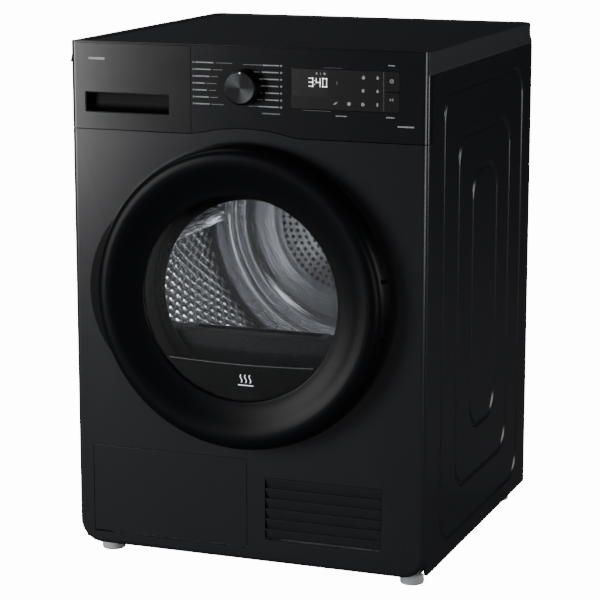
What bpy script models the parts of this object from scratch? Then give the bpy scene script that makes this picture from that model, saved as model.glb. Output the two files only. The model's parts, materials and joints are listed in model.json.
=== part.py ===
"""Front-loading heat-pump clothes dryer: cabinet, door, drum, heat pump and controls, as separate pieces.

Metres, +Z up. X = 0 and Y = 0 are the middle of the overall box, Z = 0 is the floor and -Y is the front.
"""

import math

import bmesh
import bpy
from mathutils import Matrix, Vector

# Overall box
FRONT = -0.280
BACK = 0.320
HEIGHT = 0.850
LID_Z = 0.815
FASCIA_Z = 0.710
BASE_Z = 0.022
FACE_X = 0.2985
SIDE_X = 0.297
RETURN = 0.022
SHEET = 0.0010
GAP = 0.0004

# Door: its middle height, its hinge pin and the stand-off of that pin from the front face
DOOR_Z = 0.4565
HINGE_X = 0.220
HINGE_H = 0.033
HOLE_R = 0.188
RING_R = 0.2445
GLASS_R = 0.164
ARM_Z = 0.045

# Drum and its drive
DRUM_Z = 0.500
DRUM_R = 0.270
DRUM_FRONT = -0.195
DRUM_REAR = 0.213
ROLLER_R = 0.025
ROLLER_X = 0.190
ROLLER_Z = 0.2736
SHAFT = (0.150, 0.125)
PULLEY_R = 0.010

# Front details
SEAM_X = -0.090
KNOB_Z = 0.787
LIP_Z = 0.388
FLAP = (-0.270, 0.0455, 0.000, 0.191)
FLAP_PIN = (0.050, 0.006)
FOOT_X = 0.262
FOOT_Y = (-0.226, 0.270)

QUARTER = math.pi / 2
FORWARD = Matrix.Rotation(QUARTER, 4, "X")
UPRIGHT = Matrix.Identity(4)


def collection(name, hidden=False):
    """A new collection in the scene, left out of renders when it is hidden."""
    made = bpy.data.collections.new(name)
    bpy.context.scene.collection.children.link(made)
    made.hide_render = hidden
    return made


def clear_scene():
    for obj in list(bpy.data.objects):
        bpy.data.objects.remove(obj, do_unlink=True)


def add(name, mesh, at=(0, 0, 0), facing=UPRIGHT, smooth=False):
    """Links a mesh as a piece of the dryer, turned by facing and moved to at."""
    obj = bpy.data.objects.new(name, mesh)
    PIECES.objects.link(obj)
    obj.matrix_world = Matrix.Translation(at) @ facing
    for polygon in mesh.polygons:
        polygon.use_smooth = smooth
    return obj


def as_tool(obj):
    """Moves a piece to the cutters, where a Boolean uses it and no render shows it."""
    if obj.name in PIECES.objects:
        PIECES.objects.unlink(obj)
        CUTTERS.objects.link(obj)
        obj.hide_render = True
        obj.display_type = "WIRE"
    return obj


def boolean(target, tools, operation):
    for tool in tools:
        step = target.modifiers.new(operation.lower(), "BOOLEAN")
        step.operation = operation
        step.solver = "EXACT"
        step.object = as_tool(tool)
    return target


def cut(target, *tools):
    return boolean(target, tools, "DIFFERENCE")


def fuse(target, *tools):
    return boolean(target, tools, "UNION")


def soften(obj, width, segments=1):
    step = obj.modifiers.new("edges", "BEVEL")
    step.width = width
    step.segments = segments
    step.limit_method = "ANGLE"
    return obj


def block(name, low, high, turn=UPRIGHT):
    """A box between two corners, turned about its own middle."""
    size = Vector(high) - Vector(low)
    mesh = bpy.data.meshes.new(name)
    shape = bmesh.new()
    bmesh.ops.create_cube(shape, size=1, matrix=Matrix.Diagonal((*size, 1)))
    shape.to_mesh(mesh)
    shape.free()
    return add(name, mesh, (Vector(high) + Vector(low)) / 2, turn)


def plate(name, x, z, h):
    """A box given by its x range, z range and range of heights above the front face."""
    return block(name, (x[0], FRONT - h[1], z[0]), (x[1], FRONT - h[0], z[1]))


def rod(name, start, end, radius, steps=16):
    """A cylinder between two points."""
    start, end = Vector(start), Vector(end)
    mesh = bpy.data.meshes.new(name)
    shape = bmesh.new()
    bmesh.ops.create_cone(
        shape, cap_ends=True, segments=steps, radius1=radius, radius2=radius, depth=(end - start).length
    )
    shape.to_mesh(mesh)
    shape.free()
    turn = (end - start).to_track_quat("Z", "Y").to_matrix().to_4x4()
    return add(name, mesh, (start + end) / 2, turn, smooth=True)


def lathe(name, profile, at=(0, 0, 0), facing=UPRIGHT, steps=32):
    """A profile of (radius, height) pairs turned once about local Z. It may run either way round."""
    turned = sum(a[0] * b[1] - b[0] * a[1] for a, b in zip(profile, profile[1:] + profile[:1]))
    points = profile if turned < 0 else profile[::-1]
    open_ended = points[0][0] == 0 or points[-1][0] == 0
    edges = [(i, i + 1) for i in range(len(points) - 1)]
    if not open_ended:
        edges.append((len(points) - 1, 0))
    mesh = bpy.data.meshes.new(name)
    mesh.from_pydata([(r, 0, z) for r, z in points], edges, [])
    obj = add(name, mesh, at, facing)
    step = obj.modifiers.new("turn", "SCREW")
    step.axis = "Z"
    step.steps = steps
    step.render_steps = steps
    step.use_merge_vertices = True
    step.merge_threshold = 1e-5
    step.use_smooth_shade = True
    return obj


def turned(name, profile, x, z, steps=32):
    """A lathe shape about an axis along Y: heights are measured forward from the front face."""
    return lathe(name, profile, (x, FRONT, z), FORWARD, steps)


def sheet(name, outlines, low, high, facing=FORWARD):
    """A flat shape with holes, from closed outlines, between two heights along its facing."""
    curve = bpy.data.curves.new(name, "CURVE")
    curve.dimensions = "2D"
    curve.fill_mode = "BOTH"
    curve.extrude = (high - low) / 2
    for outline in outlines:
        spline = curve.splines.new("POLY")
        spline.points.add(len(outline) - 1)
        for point, (u, v) in zip(spline.points, outline):
            point.co = (u, v, 0, 1)
        spline.use_cyclic_u = True
    mesh = welded_mesh(curve)
    middle = Vector((0, 0, (high + low) / 2))
    origin = Vector((0, FRONT, 0)) if facing is FORWARD else Vector()
    return add(name, mesh, origin + facing @ middle, facing)


def welded_mesh(curve):
    """The mesh of a curve, with its caps joined to its sides and its faces outward."""
    holder = bpy.data.objects.new("holder", curve)
    PIECES.objects.link(holder)
    bpy.context.view_layer.update()
    mesh = bpy.data.meshes.new_from_object(holder.evaluated_get(bpy.context.evaluated_depsgraph_get()))
    bpy.data.objects.remove(holder, do_unlink=True)
    shape = bmesh.new()
    shape.from_mesh(mesh)
    bmesh.ops.remove_doubles(shape, verts=shape.verts, dist=1e-5)
    bmesh.ops.recalc_face_normals(shape, faces=shape.faces)
    shape.to_mesh(mesh)
    shape.free()
    mesh.materials.clear()
    return mesh


def tube(name, points, radius):
    curve = bpy.data.curves.new(name, "CURVE")
    curve.dimensions = "3D"
    curve.bevel_depth = radius
    curve.bevel_resolution = 2
    curve.use_fill_caps = True
    spline = curve.splines.new("POLY")
    spline.points.add(len(points) - 1)
    for point, place in zip(spline.points, points):
        point.co = (*place, 1)
    return add(name, welded_mesh(curve), smooth=True)


def loft(name, loops, outward=None, thickness=0.0):
    """Joins equal loops of points into a ring, or, given outward, into a capped skin that is thickened inward."""
    count = len(loops[0])
    mesh = bpy.data.meshes.new(name)
    faces = []
    pairs = len(loops) if outward is None else len(loops) - 1
    for k in range(pairs):
        a, b = k * count, (k + 1) % len(loops) * count
        faces += [(a + i, a + (i + 1) % count, b + (i + 1) % count, b + i) for i in range(count)]
    if outward is not None:
        faces.append(tuple((len(loops) - 1) * count + i for i in range(count)))
    mesh.from_pydata([p for loop in loops for p in loop], [], faces)
    shape = bmesh.new()
    shape.from_mesh(mesh)
    shape.faces.ensure_lookup_table()
    if outward is None:
        bmesh.ops.recalc_face_normals(shape, faces=shape.faces)
    else:
        shape.normal_update()
        if shape.faces[-1].normal.dot(Vector(outward)) < 0:
            bmesh.ops.reverse_faces(shape, faces=shape.faces)
    shape.to_mesh(mesh)
    shape.free()
    obj = add(name, mesh)
    if thickness:
        step = obj.modifiers.new("wall", "SOLIDIFY")
        step.thickness = thickness
        step.offset = -1
        step.use_even_offset = True
    return obj


def arc(cx, cz, radius, start, end, count):
    """Points on a circle from one angle to another, in degrees, both ends included."""
    angles = [math.radians(start + (end - start) * i / (count - 1)) for i in range(count)]
    return [(cx + radius * math.cos(a), cz + radius * math.sin(a)) for a in angles]


def circle(cx, cz, radius, count=32):
    return arc(cx, cz, radius, 0, 360, count + 1)[:-1]


def rounded(x0, z0, x1, z1, radius, count=4):
    """A rectangle with rounded corners, anticlockwise."""
    corners = [(x1 - radius, z1 - radius, 0), (x0 + radius, z1 - radius, 90)]
    corners += [(x0 + radius, z0 + radius, 180), (x1 - radius, z0 + radius, 270)]
    return [p for cx, cz, a in corners for p in arc(cx, cz, radius, a, a + 90, count)]


def square(x0, z0, x1, z1):
    return [(x0, z0), (x1, z0), (x1, z1), (x0, z1)]


def segment(radius, top, count=20):
    """The part of a circle about the door's middle that lies below a level line."""
    angle = math.degrees(math.asin((top - DOOR_Z) / radius))
    return arc(0, DOOR_Z, radius, 180 - angle, 360 + angle, count)


def seam_height(x):
    """Height of the seam between front panel and fascia, which arches up over the door."""
    t = min(abs(x) / 0.094, 1.0)
    return FASCIA_Z + 0.0115 * (1 - t * t) ** 2 * (1 + 0.9 * t * t)


def seam(lift):
    """Points along the arch from right to left."""
    return [(x, seam_height(x) + lift) for x in [0.094 - 0.0235 * i for i in range(9)]]


def face_loop(inset, h, top):
    """One outline of the front panel, drawn in from its sides and foot."""
    low = arc(-FACE_X + 0.038, BASE_Z + 0.038, 0.038 - inset, 180, 270, 5)
    low += arc(FACE_X - 0.038, BASE_Z + 0.038, 0.038 - inset, 270, 360, 5)
    edge = [(FACE_X - inset, FASCIA_Z + top)] + seam(top) + [(-FACE_X + inset, FASCIA_Z + top)]
    return [(x, FRONT - h, z) for x, z in low + edge]


def fascia_loop(inset, h):
    """One outline of the fascia, drawn in from its sides and top."""
    x, top = FACE_X - inset, HEIGHT - 0.15 * inset
    edge = [(-x, FASCIA_Z + 0.0008)] + seam(0.0008)[::-1] + [(x, FASCIA_Z + 0.0008), (x, top), (-x, top)]
    return [(px, FRONT - h, pz) for px, pz in edge]


def lid_room():
    """Space behind the front skin that the lid's front edge and skirt take up."""
    return block("cut", (-0.32, FRONT + 0.0041, 0.8145), (0.32, FRONT + 0.05, 0.86))


def hinge_hole(x, z, h, radius=0.0019):
    return rod("hole", (x - 0.01, FRONT - h, z), (x + 0.01, FRONT - h, z), radius, 12)


def front_panel():
    loops = [face_loop(i, h, -0.0004) for i, h in ((0, -RETURN), (0, -0.009), (0.0025, -0.003), (0.009, 0))]
    panel = loft("front_panel", loops, (0, -1, 0), 0.0012)
    x0, z0, x1, z1 = FLAP
    depth = (-0.010, 0.010)
    cut(panel, sheet("cut", [circle(0, DOOR_Z, HOLE_R, 40)], *depth))
    cut(panel, plate("cut", (x0 - 0.0008, x1 + 0.0008), (z0 - 0.0025, z1 + 0.0008), depth))
    cut(panel, plate("cut", (0.0315, 0.228), (0.0615, 0.1645), depth))
    cut(panel, plate("cut", (-0.2165, -0.196), (DOOR_Z - 0.0095, DOOR_Z + 0.0095), depth))
    for side in (-1, 1):
        z = DOOR_Z + side * ARM_Z
        cut(panel, plate("cut", (0.198, 0.2075), (z - 0.0035, z + 0.0035), depth))
    for x in (x0 - 0.0028, x1 + 0.0028):
        lug = plate("lug", (x - 0.0015, x + 0.0015), (0.0455, 0.0545), (-0.0090, -0.0006))
        fuse(panel, lug)
        cut(panel, hinge_hole(x, *FLAP_PIN[:1], -FLAP_PIN[1]))
    return panel


def control_fascia():
    loops = [fascia_loop(i, h) for i, h in ((0, -RETURN), (0, -0.009), (0.0025, -0.003), (0.009, 0))]
    fascia = loft("control_fascia", loops, (0, -1, 0), 0.002)
    cut(fascia, plate("cut", (-0.32, SEAM_X), (0.700, 0.8475), (-0.03, 0.01)))
    cut(fascia, rod("cut", (0, FRONT - 0.01, KNOB_Z), (0, FRONT + 0.01, KNOB_Z), 0.0045))
    cut(fascia, plate("cut", (0.0775, 0.2525), (0.7565, 0.8195), (-0.01, 0.01)))
    return cut(fascia, lid_room())


def side_panel(name, side):
    """Pressed side with three nested grooves and a flange all round."""

    def loop(y0, z0, y1, z1, radius, depth):
        return [(side * (SIDE_X - depth), y, z) for y, z in rounded(y0, z0, y1, z1, radius)]

    y0, z0, y1, z1 = -0.2572, 0.0230, 0.3180, 0.8145
    loops = [loop(y0, z0, y1, z1, 0.004, 0.006), loop(y0, z0, y1, z1, 0.004, 0)]
    for edge in ((-0.192, 0.055, 0.257, 0.777), (-0.112, 0.125, 0.182, 0.700), (-0.032, 0.205, 0.107, 0.635)):
        a, b, c, d = edge
        loops.append(loop(a - 0.007, b - 0.006, c + 0.007, d + 0.006, 0.048, 0))
        loops.append(loop(a - 0.001, b, c + 0.001, d, 0.044, 0.004))
        loops.append(loop(a + 0.003, b + 0.006, c - 0.003, d - 0.006, 0.040, 0))
    return loft(name, loops, (side, 0, 0), SHEET)


def back_panel():
    vents = [square(-0.21, z, -0.11, z + 0.006) for z in (0.07, 0.09, 0.11, 0.13, 0.15)]
    outlines = [square(-0.294, 0.0235, 0.294, 0.8140), circle(0, DRUM_Z, 0.212), circle(0.235, 0.09, 0.0089, 12)]
    return sheet("back_panel", outlines + vents, FRONT - BACK, FRONT - BACK + SHEET)


def rear_duct_cover():
    profile = [(0, -0.6040), (0.192, -0.6040), (0.209, -0.6004), (0.240, -0.6004)]
    profile += [(0.240, -0.6014), (0.210, -0.6014), (0.193, -0.6050), (0, -0.6050)]
    return turned("rear_duct_cover", profile, 0, DRUM_Z)


def worktop_frame():
    """Rim and flared skirt on three sides. The fascia closes the fourth."""

    def loop(inset, z):
        return [(x, y, z) for x, y in rounded(-0.3 + inset, -0.34, 0.3 - inset, BACK - inset, 0.016 - 0.4 * inset)]

    outer = [(0, LID_Z), (0.0005, 0.8185), (0.0030, 0.8290), (0.0030, 0.8470), (0.0045, 0.8492), (0.0065, 0.8500)]
    inner = [(0.0225, 0.8500), (0.0240, 0.8488), (0.0240, 0.8445), (0.0310, 0.8445), (0.0310, 0.8425)]
    inner += [(0.0055, 0.8425), (0.0055, 0.8290), (0.0025, LID_Z)]
    frame = loft("worktop_frame", [loop(*step) for step in outer + inner])
    return cut(frame, block("cut", (-0.4, -0.4, 0.7), (0.4, FRONT + 0.0045, 0.9)))


def worktop_panel():
    outline = rounded(-0.2755, FRONT + 0.0045, 0.2755, BACK - 0.0245, 0.0070, 3)
    return sheet("worktop_panel", [outline], 0.8449, 0.8484, UPRIGHT)


def base_tray():
    tray = block("base_tray", (-0.284, -0.2565, BASE_Z + 0.002), (0.284, 0.3125, 0.058))
    cut(tray, block("cut", (-0.280, -0.2525, 0.028), (0.280, 0.3085, 0.07)))
    for x in (-FOOT_X, FOOT_X):
        for y in FOOT_Y:
            fuse(tray, rod("boss", (x, y, 0.026), (x, y, 0.056), 0.014, 14))
            cut(tray, rod("cut", (x, y, 0.0), (x, y, 0.07), 0.0060, 12))
    return tray


def foot(name, x, y):
    profile = [(0, 0.052), (0.0055, 0.052), (0.0055, 0.017), (0.017, 0.014), (0.0195, 0.003), (0.0185, 0), (0, 0)]
    return lathe(name, profile, (x, y, 0), steps=14)


def grille():
    """Frame with six blades, each leaning out at its top."""
    x0, z0, x1, z1 = 0.0322, 0.0622, 0.2273, 0.1638
    border = [square(x0, z0, x1, z1), square(x0 + 0.003, z0 + 0.003, x1 - 0.003, z1 - 0.003)]
    frame = sheet("air_inlet_grille", border, -0.012, -0.0050)
    tilt = Matrix.Rotation(math.radians(15), 4, "X")
    pitch = (z1 - z0) / 6
    for i in range(6):
        top = z1 - 0.0003 - pitch * i
        low, high = (x0, FRONT + 0.0026, top - 0.0158), (x1, FRONT + 0.0044, top)
        fuse(frame, block("blade", low, high, tilt))
    return frame


def service_flap():
    x0, z0, x1, z1 = FLAP
    pin_z, pin_h = FLAP_PIN
    flap = plate("service_flap", (x0, x1), (z0, z1), (-0.0025, 0))
    for x in (x0 + 0.005, x1 - 0.005):
        fuse(flap, plate("ear", (x - 0.003, x + 0.003), (pin_z - 0.0022, pin_z + 0.0022), (-0.0082, -0.0020)))
    ends = [(x, FRONT + pin_h, pin_z) for x in (x0 - 0.0040, x1 + 0.0040)]
    return fuse(flap, rod("pin", *ends, 0.0015, 10))


def inner_cover():
    cover = plate("inner_cover", (-0.252, -0.018), (0.060, 0.178), (-0.0285, -0.0245))
    for x in (-0.222, -0.048):
        cut(cover, rod("cut", (x, FRONT, 0.118), (x, FRONT + 0.05, 0.118), 0.0038, 12))
    return cut(cover, plate("cut", (-0.195, -0.075), (0.080, 0.158), (-0.0262, -0.02)))


def lock_lever(name, x):
    """Quarter-turn lever on a spindle through the inner cover, with a tongue behind it."""
    lever = rod(name, (x, FRONT + 0.0160, 0.118), (x, FRONT + 0.0240, 0.118), 0.009, 14)
    fuse(lever, plate("arm", (x - 0.0055, x + 0.0055), (0.112, 0.156), (-0.0215, -0.0175)))
    fuse(lever, rod("spindle", (x, FRONT + 0.020, 0.118), (x, FRONT + 0.034, 0.118), 0.0034, 12))
    return fuse(lever, plate("tongue", (x - 0.005, x + 0.005), (0.108, 0.146), (-0.0345, -0.0300)))


def drawer_front():
    """Corner-wrapping front of the water drawer with a finger pocket."""
    x = -FACE_X
    outer = [(SEAM_X - GAP, FRONT)] + arc(x + 0.009, FRONT + 0.009, 0.009, 270, 180, 5)
    inner = arc(x + 0.009, FRONT + 0.009, 0.007, 180, 270, 5) + [(SEAM_X - GAP, FRONT + 0.002)]
    outline = outer + [(x, FRONT + RETURN), (x + 0.002, FRONT + RETURN)] + inner
    front = sheet("drawer_front", [outline], 0.7108, 0.8467, UPRIGHT)
    fuse(front, plate("pocket", (-0.276, -0.124), (0.734, 0.773), (-0.0215, -0.001)))
    cut(front, lid_room())
    return cut(front, plate("cut", (-0.273, -0.127), (0.737, 0.770), (-0.0190, 0.01)))


def water_tank():
    tank = block("water_tank", (-0.2845, FRONT + 0.0220, 0.7625), (-0.1005, 0.112, 0.8350))
    soften(tank, 0.004)
    cut(tank, block("cut", (-0.2820, FRONT + 0.0245, 0.7650), (-0.1030, 0.1095, 0.8325)))
    return cut(tank, rod("cut", (-0.19, 0.080, 0.82), (-0.19, 0.080, 0.85), 0.014, 14))


def tank_channel():
    """Open-fronted sleeve that the water tank slides in, with a flange behind the drawer front."""
    opening = square(-0.2872, 0.7598, -0.0978, 0.8378)
    channel = sheet("tank_channel", [square(-0.2892, 0.7575, -0.0956, 0.8400), opening], -0.405, -0.0240)
    fuse(channel, sheet("flange", [square(-0.2900, 0.7200, -0.0915, 0.8420), opening], -0.0260, -0.0235))
    return fuse(channel, plate("end", (-0.2885, -0.0960), (0.7580, 0.8395), (-0.405, -0.403)))


def front_bulkhead():
    """Moulded front support: throat behind the door, filter pocket below it and two roller pins."""
    hole = circle(0, DOOR_Z, 0.1895, 40)
    bulkhead = sheet("front_bulkhead", [rounded(-0.286, 0.205, 0.286, 0.755, 0.03, 3), hole], -0.081, -0.0755)
    fuse(bulkhead, sheet("throat", [circle(0, DOOR_Z, 0.1915, 40), circle(0, DOOR_Z, HOLE_R, 40)], -0.081, -0.0016))
    fuse(bulkhead, sheet("lip", [segment(0.1898, LIP_Z)], -0.0805, -0.0335))
    cut(bulkhead, plate("cut", (-0.1125, 0.1125), (0.2620, 0.400), (-0.0715, -0.0405)))
    for x in (-ROLLER_X, ROLLER_X):
        ends = [(x, y, ROLLER_Z) for y in (FRONT + 0.078, DRUM_FRONT + 0.021)]
        fuse(bulkhead, rod("pin", *ends, 0.004, 12))
    return bulkhead


def rear_bulkhead():
    """Pressed rear wall of the drum with two raised rings, an air screen and two roller pins."""
    h = -0.4965
    face = [(0, h + 0.006), (0.128, h + 0.006), (0.143, h), (0.182, h), (0.192, h + 0.007), (0.200, h + 0.0095)]
    face += [(0.209, h + 0.006), (0.2165, h + 0.002), (0.225, h + 0.005), (0.233, h + 0.007), (0.242, h + 0.004)]
    face += [(0.250, h), (0.283, h)]
    profile = face + [(r, z - SHEET) for r, z in face[::-1]]
    disc = turned("rear_bulkhead", profile, 0, DRUM_Z, 24)
    frame = [rounded(-0.287, 0.205, 0.287, 0.795, 0.03, 3), circle(0, DRUM_Z, 0.278, 24)]
    fuse(disc, sheet("frame", frame, h - SHEET, h - 0.0001))
    for radius, count in ((0.045, 5), (0.095, 10)):
        for x, z in circle(0, DRUM_Z, radius, count):
            cut(disc, rod("cut", (x, 0.19, z), (x, 0.23, z), 0.014, 6))
    for x in (-ROLLER_X, ROLLER_X):
        fuse(disc, rod("pin", (x, 0.2172, ROLLER_Z), (x, 0.186, ROLLER_Z), 0.004, 12))
    return disc


def felt(name, inner, outer, low, high):
    return turned(name, [(outer, high), (outer, low), (inner, low), (inner, high)], 0, DRUM_Z, 28)


def roller(name, x, y):
    profile = [(ROLLER_R, 0.0055), (ROLLER_R, -0.0055), (0.0044, -0.0070), (0.0044, 0.0070)]
    return lathe(name, profile, (x, y, ROLLER_Z), FORWARD, 18)


def drum_shell():
    top, bottom = FRONT - DRUM_FRONT, FRONT - DRUM_REAR
    wall = [(0.242, top), (0.266, top), (DRUM_R, top - 0.004), (DRUM_R, bottom)]
    wall += [(DRUM_R - SHEET, bottom), (DRUM_R - SHEET, top - 0.0046), (0.2656, top - SHEET), (0.242, top - SHEET)]
    return turned("drum_shell", wall, 0, DRUM_Z, 40)


def drum_lifter(name, side):
    """Tapered hollow paddle inside the drum wall that carries the load round."""
    root = DRUM_R - 0.0034
    outline = [(root, -0.024), (root, 0.024), (0.240, 0.012), (0.224, 0.007), (0.224, -0.007), (0.240, -0.012)]
    shape = [(side * r, DRUM_Z + side * t) for r, t in outline]
    lifter = soften(sheet(name, [shape], -0.455, -0.120), 0.0012)
    inside = [(0.280, 0.0285), (0.240, 0.0106), (0.2256, 0.0056), (0.2256, -0.0056), (0.240, -0.0106), (0.280, -0.0285)]
    return cut(lifter, sheet("cut", [[(side * r, DRUM_Z + side * t) for r, t in inside]], -0.4535, -0.1215))


def drive_belt():
    """Taut belt round the drum and the motor pulley."""

    def wrap(grow):
        big, small = DRUM_R + grow, PULLEY_R + grow
        dx, dz = SHAFT[0], SHAFT[1] - DRUM_Z
        span = math.hypot(dx, dz)
        heading = math.degrees(math.atan2(dz, dx))
        spread = math.degrees(math.acos((big - small) / span))
        path = arc(0, DRUM_Z, big, heading + spread, heading + 360 - spread, 40)
        return path + arc(*SHAFT, small, heading - spread, heading + spread, 7)

    return sheet("drive_belt", [wrap(0.0026), wrap(0.0008)], FRONT + 0.004, FRONT + 0.012)


def drive_motor():
    profile = [(0.036, -0.120), (0.042, -0.126), (0.042, -0.239), (0.036, -0.245), (0.0068, -0.245), (0.0068, -0.120)]
    motor = turned("drive_motor", profile, *SHAFT, 24)
    fuse(motor, block("foot", (0.120, -0.150, 0.0284), (0.180, -0.050, 0.0324)))
    return fuse(motor, *[block("saddle", (0.124, y, 0.0300), (0.176, y + 0.008, 0.0900)) for y in (-0.146, -0.062)])


def motor_pulley():
    profile = [(0, -0.050), (0.006, -0.050), (0.006, -0.262), (PULLEY_R, -0.262)]
    profile += [(PULLEY_R, -0.280), (0.006, -0.280), (0.006, -0.284), (0, -0.284)]
    return turned("motor_pulley", profile, *SHAFT, 18)


def fan_wheel():
    x, z = SHAFT
    profile = [(0.013, -0.055), (0.013, -0.086), (0.055, -0.086), (0.055, -0.088), (0.0063, -0.088), (0.0063, -0.055)]
    wheel = turned("fan_wheel", profile, x, z, 18)
    ring = [(0.055, -0.055), (0.055, -0.058), (0.046, -0.058), (0.046, -0.055)]
    fuse(wheel, turned("ring", ring, x, z, 18))
    for i in range(6):
        turn = Matrix.Rotation(math.tau * (i + 0.5) / 6, 4, "Y")
        low, high = Vector((0.030, FRONT + 0.056, -0.0012)), Vector((0.0535, FRONT + 0.087, 0.0012))
        blade = block("blade", low, high)
        blade.matrix_world = Matrix.Translation((x, 0, z)) @ turn @ blade.matrix_world
        fuse(wheel, blade)
    return wheel


def fan_housing():
    x, z = SHAFT
    profile = [(0.066, -0.046), (0.066, -0.100), (0.009, -0.100), (0.009, -0.098), (0.064, -0.098), (0.064, -0.048)]
    profile += [(0.040, -0.048), (0.040, -0.046)]
    housing = turned("fan_housing", profile, x, z, 24)
    cut(housing, block("cut", (x + 0.02, FRONT + 0.052, z - 0.045), (x + 0.09, FRONT + 0.094, z + 0.01)))
    return fuse(housing, block("stand", (x - 0.025, FRONT + 0.049, 0.0284), (x + 0.015, FRONT + 0.097, z - 0.0645)))


def compressor():
    profile = [(0, 0.186), (0.032, 0.183), (0.049, 0.172), (0.056, 0.156), (0.056, 0.062), (0.048, 0.044)]
    profile += [(0.048, 0.0284), (0, 0.0284)]
    return lathe("compressor", profile, (0.165, 0.150, 0), steps=24)


def heat_exchanger(name, front, back):
    """Block of upright fins on a foot plate."""
    outline = [(-0.245, 0.0284), (-0.035, 0.0284)]
    pitch = 0.210 / 12
    for i in range(12):
        x = -0.035 - pitch * i
        outline += [(x, 0.170), (x - 0.22 * pitch, 0.170), (x - 0.22 * pitch, 0.034), (x - pitch, 0.034)]
    return sheet(name, [outline], FRONT - back, FRONT - front)


def condensate_pump():
    pump = block("condensate_pump", (-0.235, 0.110, 0.0284), (-0.165, 0.180, 0.095))
    return fuse(pump, rod("motor", (-0.20, 0.145, 0.09), (-0.20, 0.145, 0.135), 0.022, 16))


def refrigerant_pipe():
    x = -0.0095
    path = [(0.1082, 0.150, 0.150), (0.020, 0.150, 0.150), (0, 0.142, 0.150), (x, 0.120, 0.150)]
    path += [(x, 0.060, 0.150), (-0.018, 0.050, 0.150), (-0.0344, 0.050, 0.150)]
    return tube("refrigerant_pipe", path, 0.004)


def cord_inlet():
    profile = [(0.0085, -0.582), (0.0085, -0.6004), (0.014, -0.6004), (0.013, -0.6045), (0.0045, -0.6045)]
    return turned("cord_inlet", profile + [(0.0045, -0.582)], 0.235, 0.09, 14)


def lint_filter():
    """Lift-out frame, open at the top, with three windows for mesh in each face."""
    frame = plate("lint_filter", (-0.1105, 0.1105), (0.2640, 0.3895), (-0.0700, -0.0420))
    fuse(frame, plate("rim", (-0.1180, 0.1180), (0.3885, 0.3912), (-0.0715, -0.0385)))
    cut(frame, plate("cut", (-0.1080, 0.1080), (0.2665, 0.400), (-0.0675, -0.0445)))
    for x in (-0.069, 0, 0.069):
        cut(frame, plate("cut", (x - 0.030, x + 0.030), (0.282, 0.372), (-0.080, -0.030)))
    return frame


def moisture_sensor():
    carrier = plate("moisture_sensor", (-0.006, 0.035), (LIP_Z + GAP, 0.3896), (-0.0795, -0.0730))
    for x in (0.003, 0.026):
        fuse(carrier, plate("bar", (x - 0.0025, x + 0.0025), (0.3892, 0.3912), (-0.0790, -0.0735)))
    return carrier


def display_window():
    return plate("display_window", (0.0780, 0.2262), (0.7570, 0.8190), (-0.0030, -0.0002))


def key(name, low, high):
    cap = plate(name, (0.2268, 0.2520), (low, high), (-0.0060, -0.0002))
    middle = (low + high) / 2
    ends = [(0.2394, FRONT + h, middle) for h in (0.005, 0.0200)]
    return fuse(cap, rod("stem", *ends, 0.003, 10))


def control_board():
    board = plate("control_board", (-0.045, 0.262), (0.745, 0.832), (-0.0300, -0.0284))
    fuse(board, plate("display", (0.0790, 0.2250), (0.7585, 0.8175), (-0.0290, -0.0060)))
    for z in (0.7727, 0.8034):
        fuse(board, plate("switch", (0.2354, 0.2434), (z - 0.004, z + 0.004), (-0.0290, -0.0215)))
    fuse(board, rod("encoder", (0, FRONT + 0.0290, KNOB_Z), (0, FRONT + 0.0100, KNOB_Z), 0.009, 14))
    return cut(board, rod("cut", (0, FRONT + 0.0265, KNOB_Z), (0, FRONT, KNOB_Z), 0.0034, 12))


def selector_knob():
    profile = [(0, 0.0198), (0.0225, 0.0198), (0.0262, 0.0190), (0.0278, 0.0165), (0.0282, 0.0010)]
    profile += [(0.0266, 0.0010), (0.0262, 0.0155), (0.0245, 0.0174), (0.0060, 0.0174), (0.0060, 0.0040)]
    profile += [(0.0030, 0.0030), (0.0030, -0.0200), (0, -0.0200)]
    knob = turned("selector_knob", profile, 0, KNOB_Z, 30)
    return cut(knob, plate("cut", (-0.0008, 0.0008), (KNOB_Z + 0.0205, KNOB_Z + 0.0250), (0.0194, 0.03)))


def door_notches():
    """Room in the door for the two hinge arms."""
    return [
        plate("cut", (0.190, 0.260), (DOOR_Z + s * ARM_Z - 0.006, DOOR_Z + s * ARM_Z + 0.006), (-0.002, 0.0330))
        for s in (-1, 1)
    ]


def door_ring():
    """Hollow ring with a soft outer crest, a sloping inner face and a grip lip on its free side."""
    outer = [(RING_R, 0.0128), (0.2420, 0.0250), (0.2388, 0.0360), (0.2340, 0.0415), (0.2285, 0.0442), (0.2220, 0.0450)]
    outer += [(0.2140, 0.0442), (0.2030, 0.0410), (0.1900, 0.0358), (0.1760, 0.0312), (GLASS_R, 0.0290)]
    inner = [(GLASS_R, 0.0264), (0.1730, 0.0264), (0.2030, 0.0378), (0.2220, 0.0420), (0.2325, 0.0385)]
    inner += [(0.2392, 0.0240), (0.2412, 0.0152), (0.2230, 0.0152), (0.2230, 0.0128)]
    ring = turned("door_ring", outer + inner, 0, DOOR_Z, 40)
    lip = sheet("lip", [circle(-0.0945, DOOR_Z, 0.1675, 32)], 0.0080, 0.0180)
    cut(lip, sheet("cut", [circle(0, DOOR_Z, 0.2422, 40)], 0.0, 0.03))
    fuse(ring, lip)
    cut(ring, plate("cut", (0.185, 0.2345), (DOOR_Z - 0.052, DOOR_Z + 0.052), (0.010, 0.0170)))
    return cut(ring, *door_notches())


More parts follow.
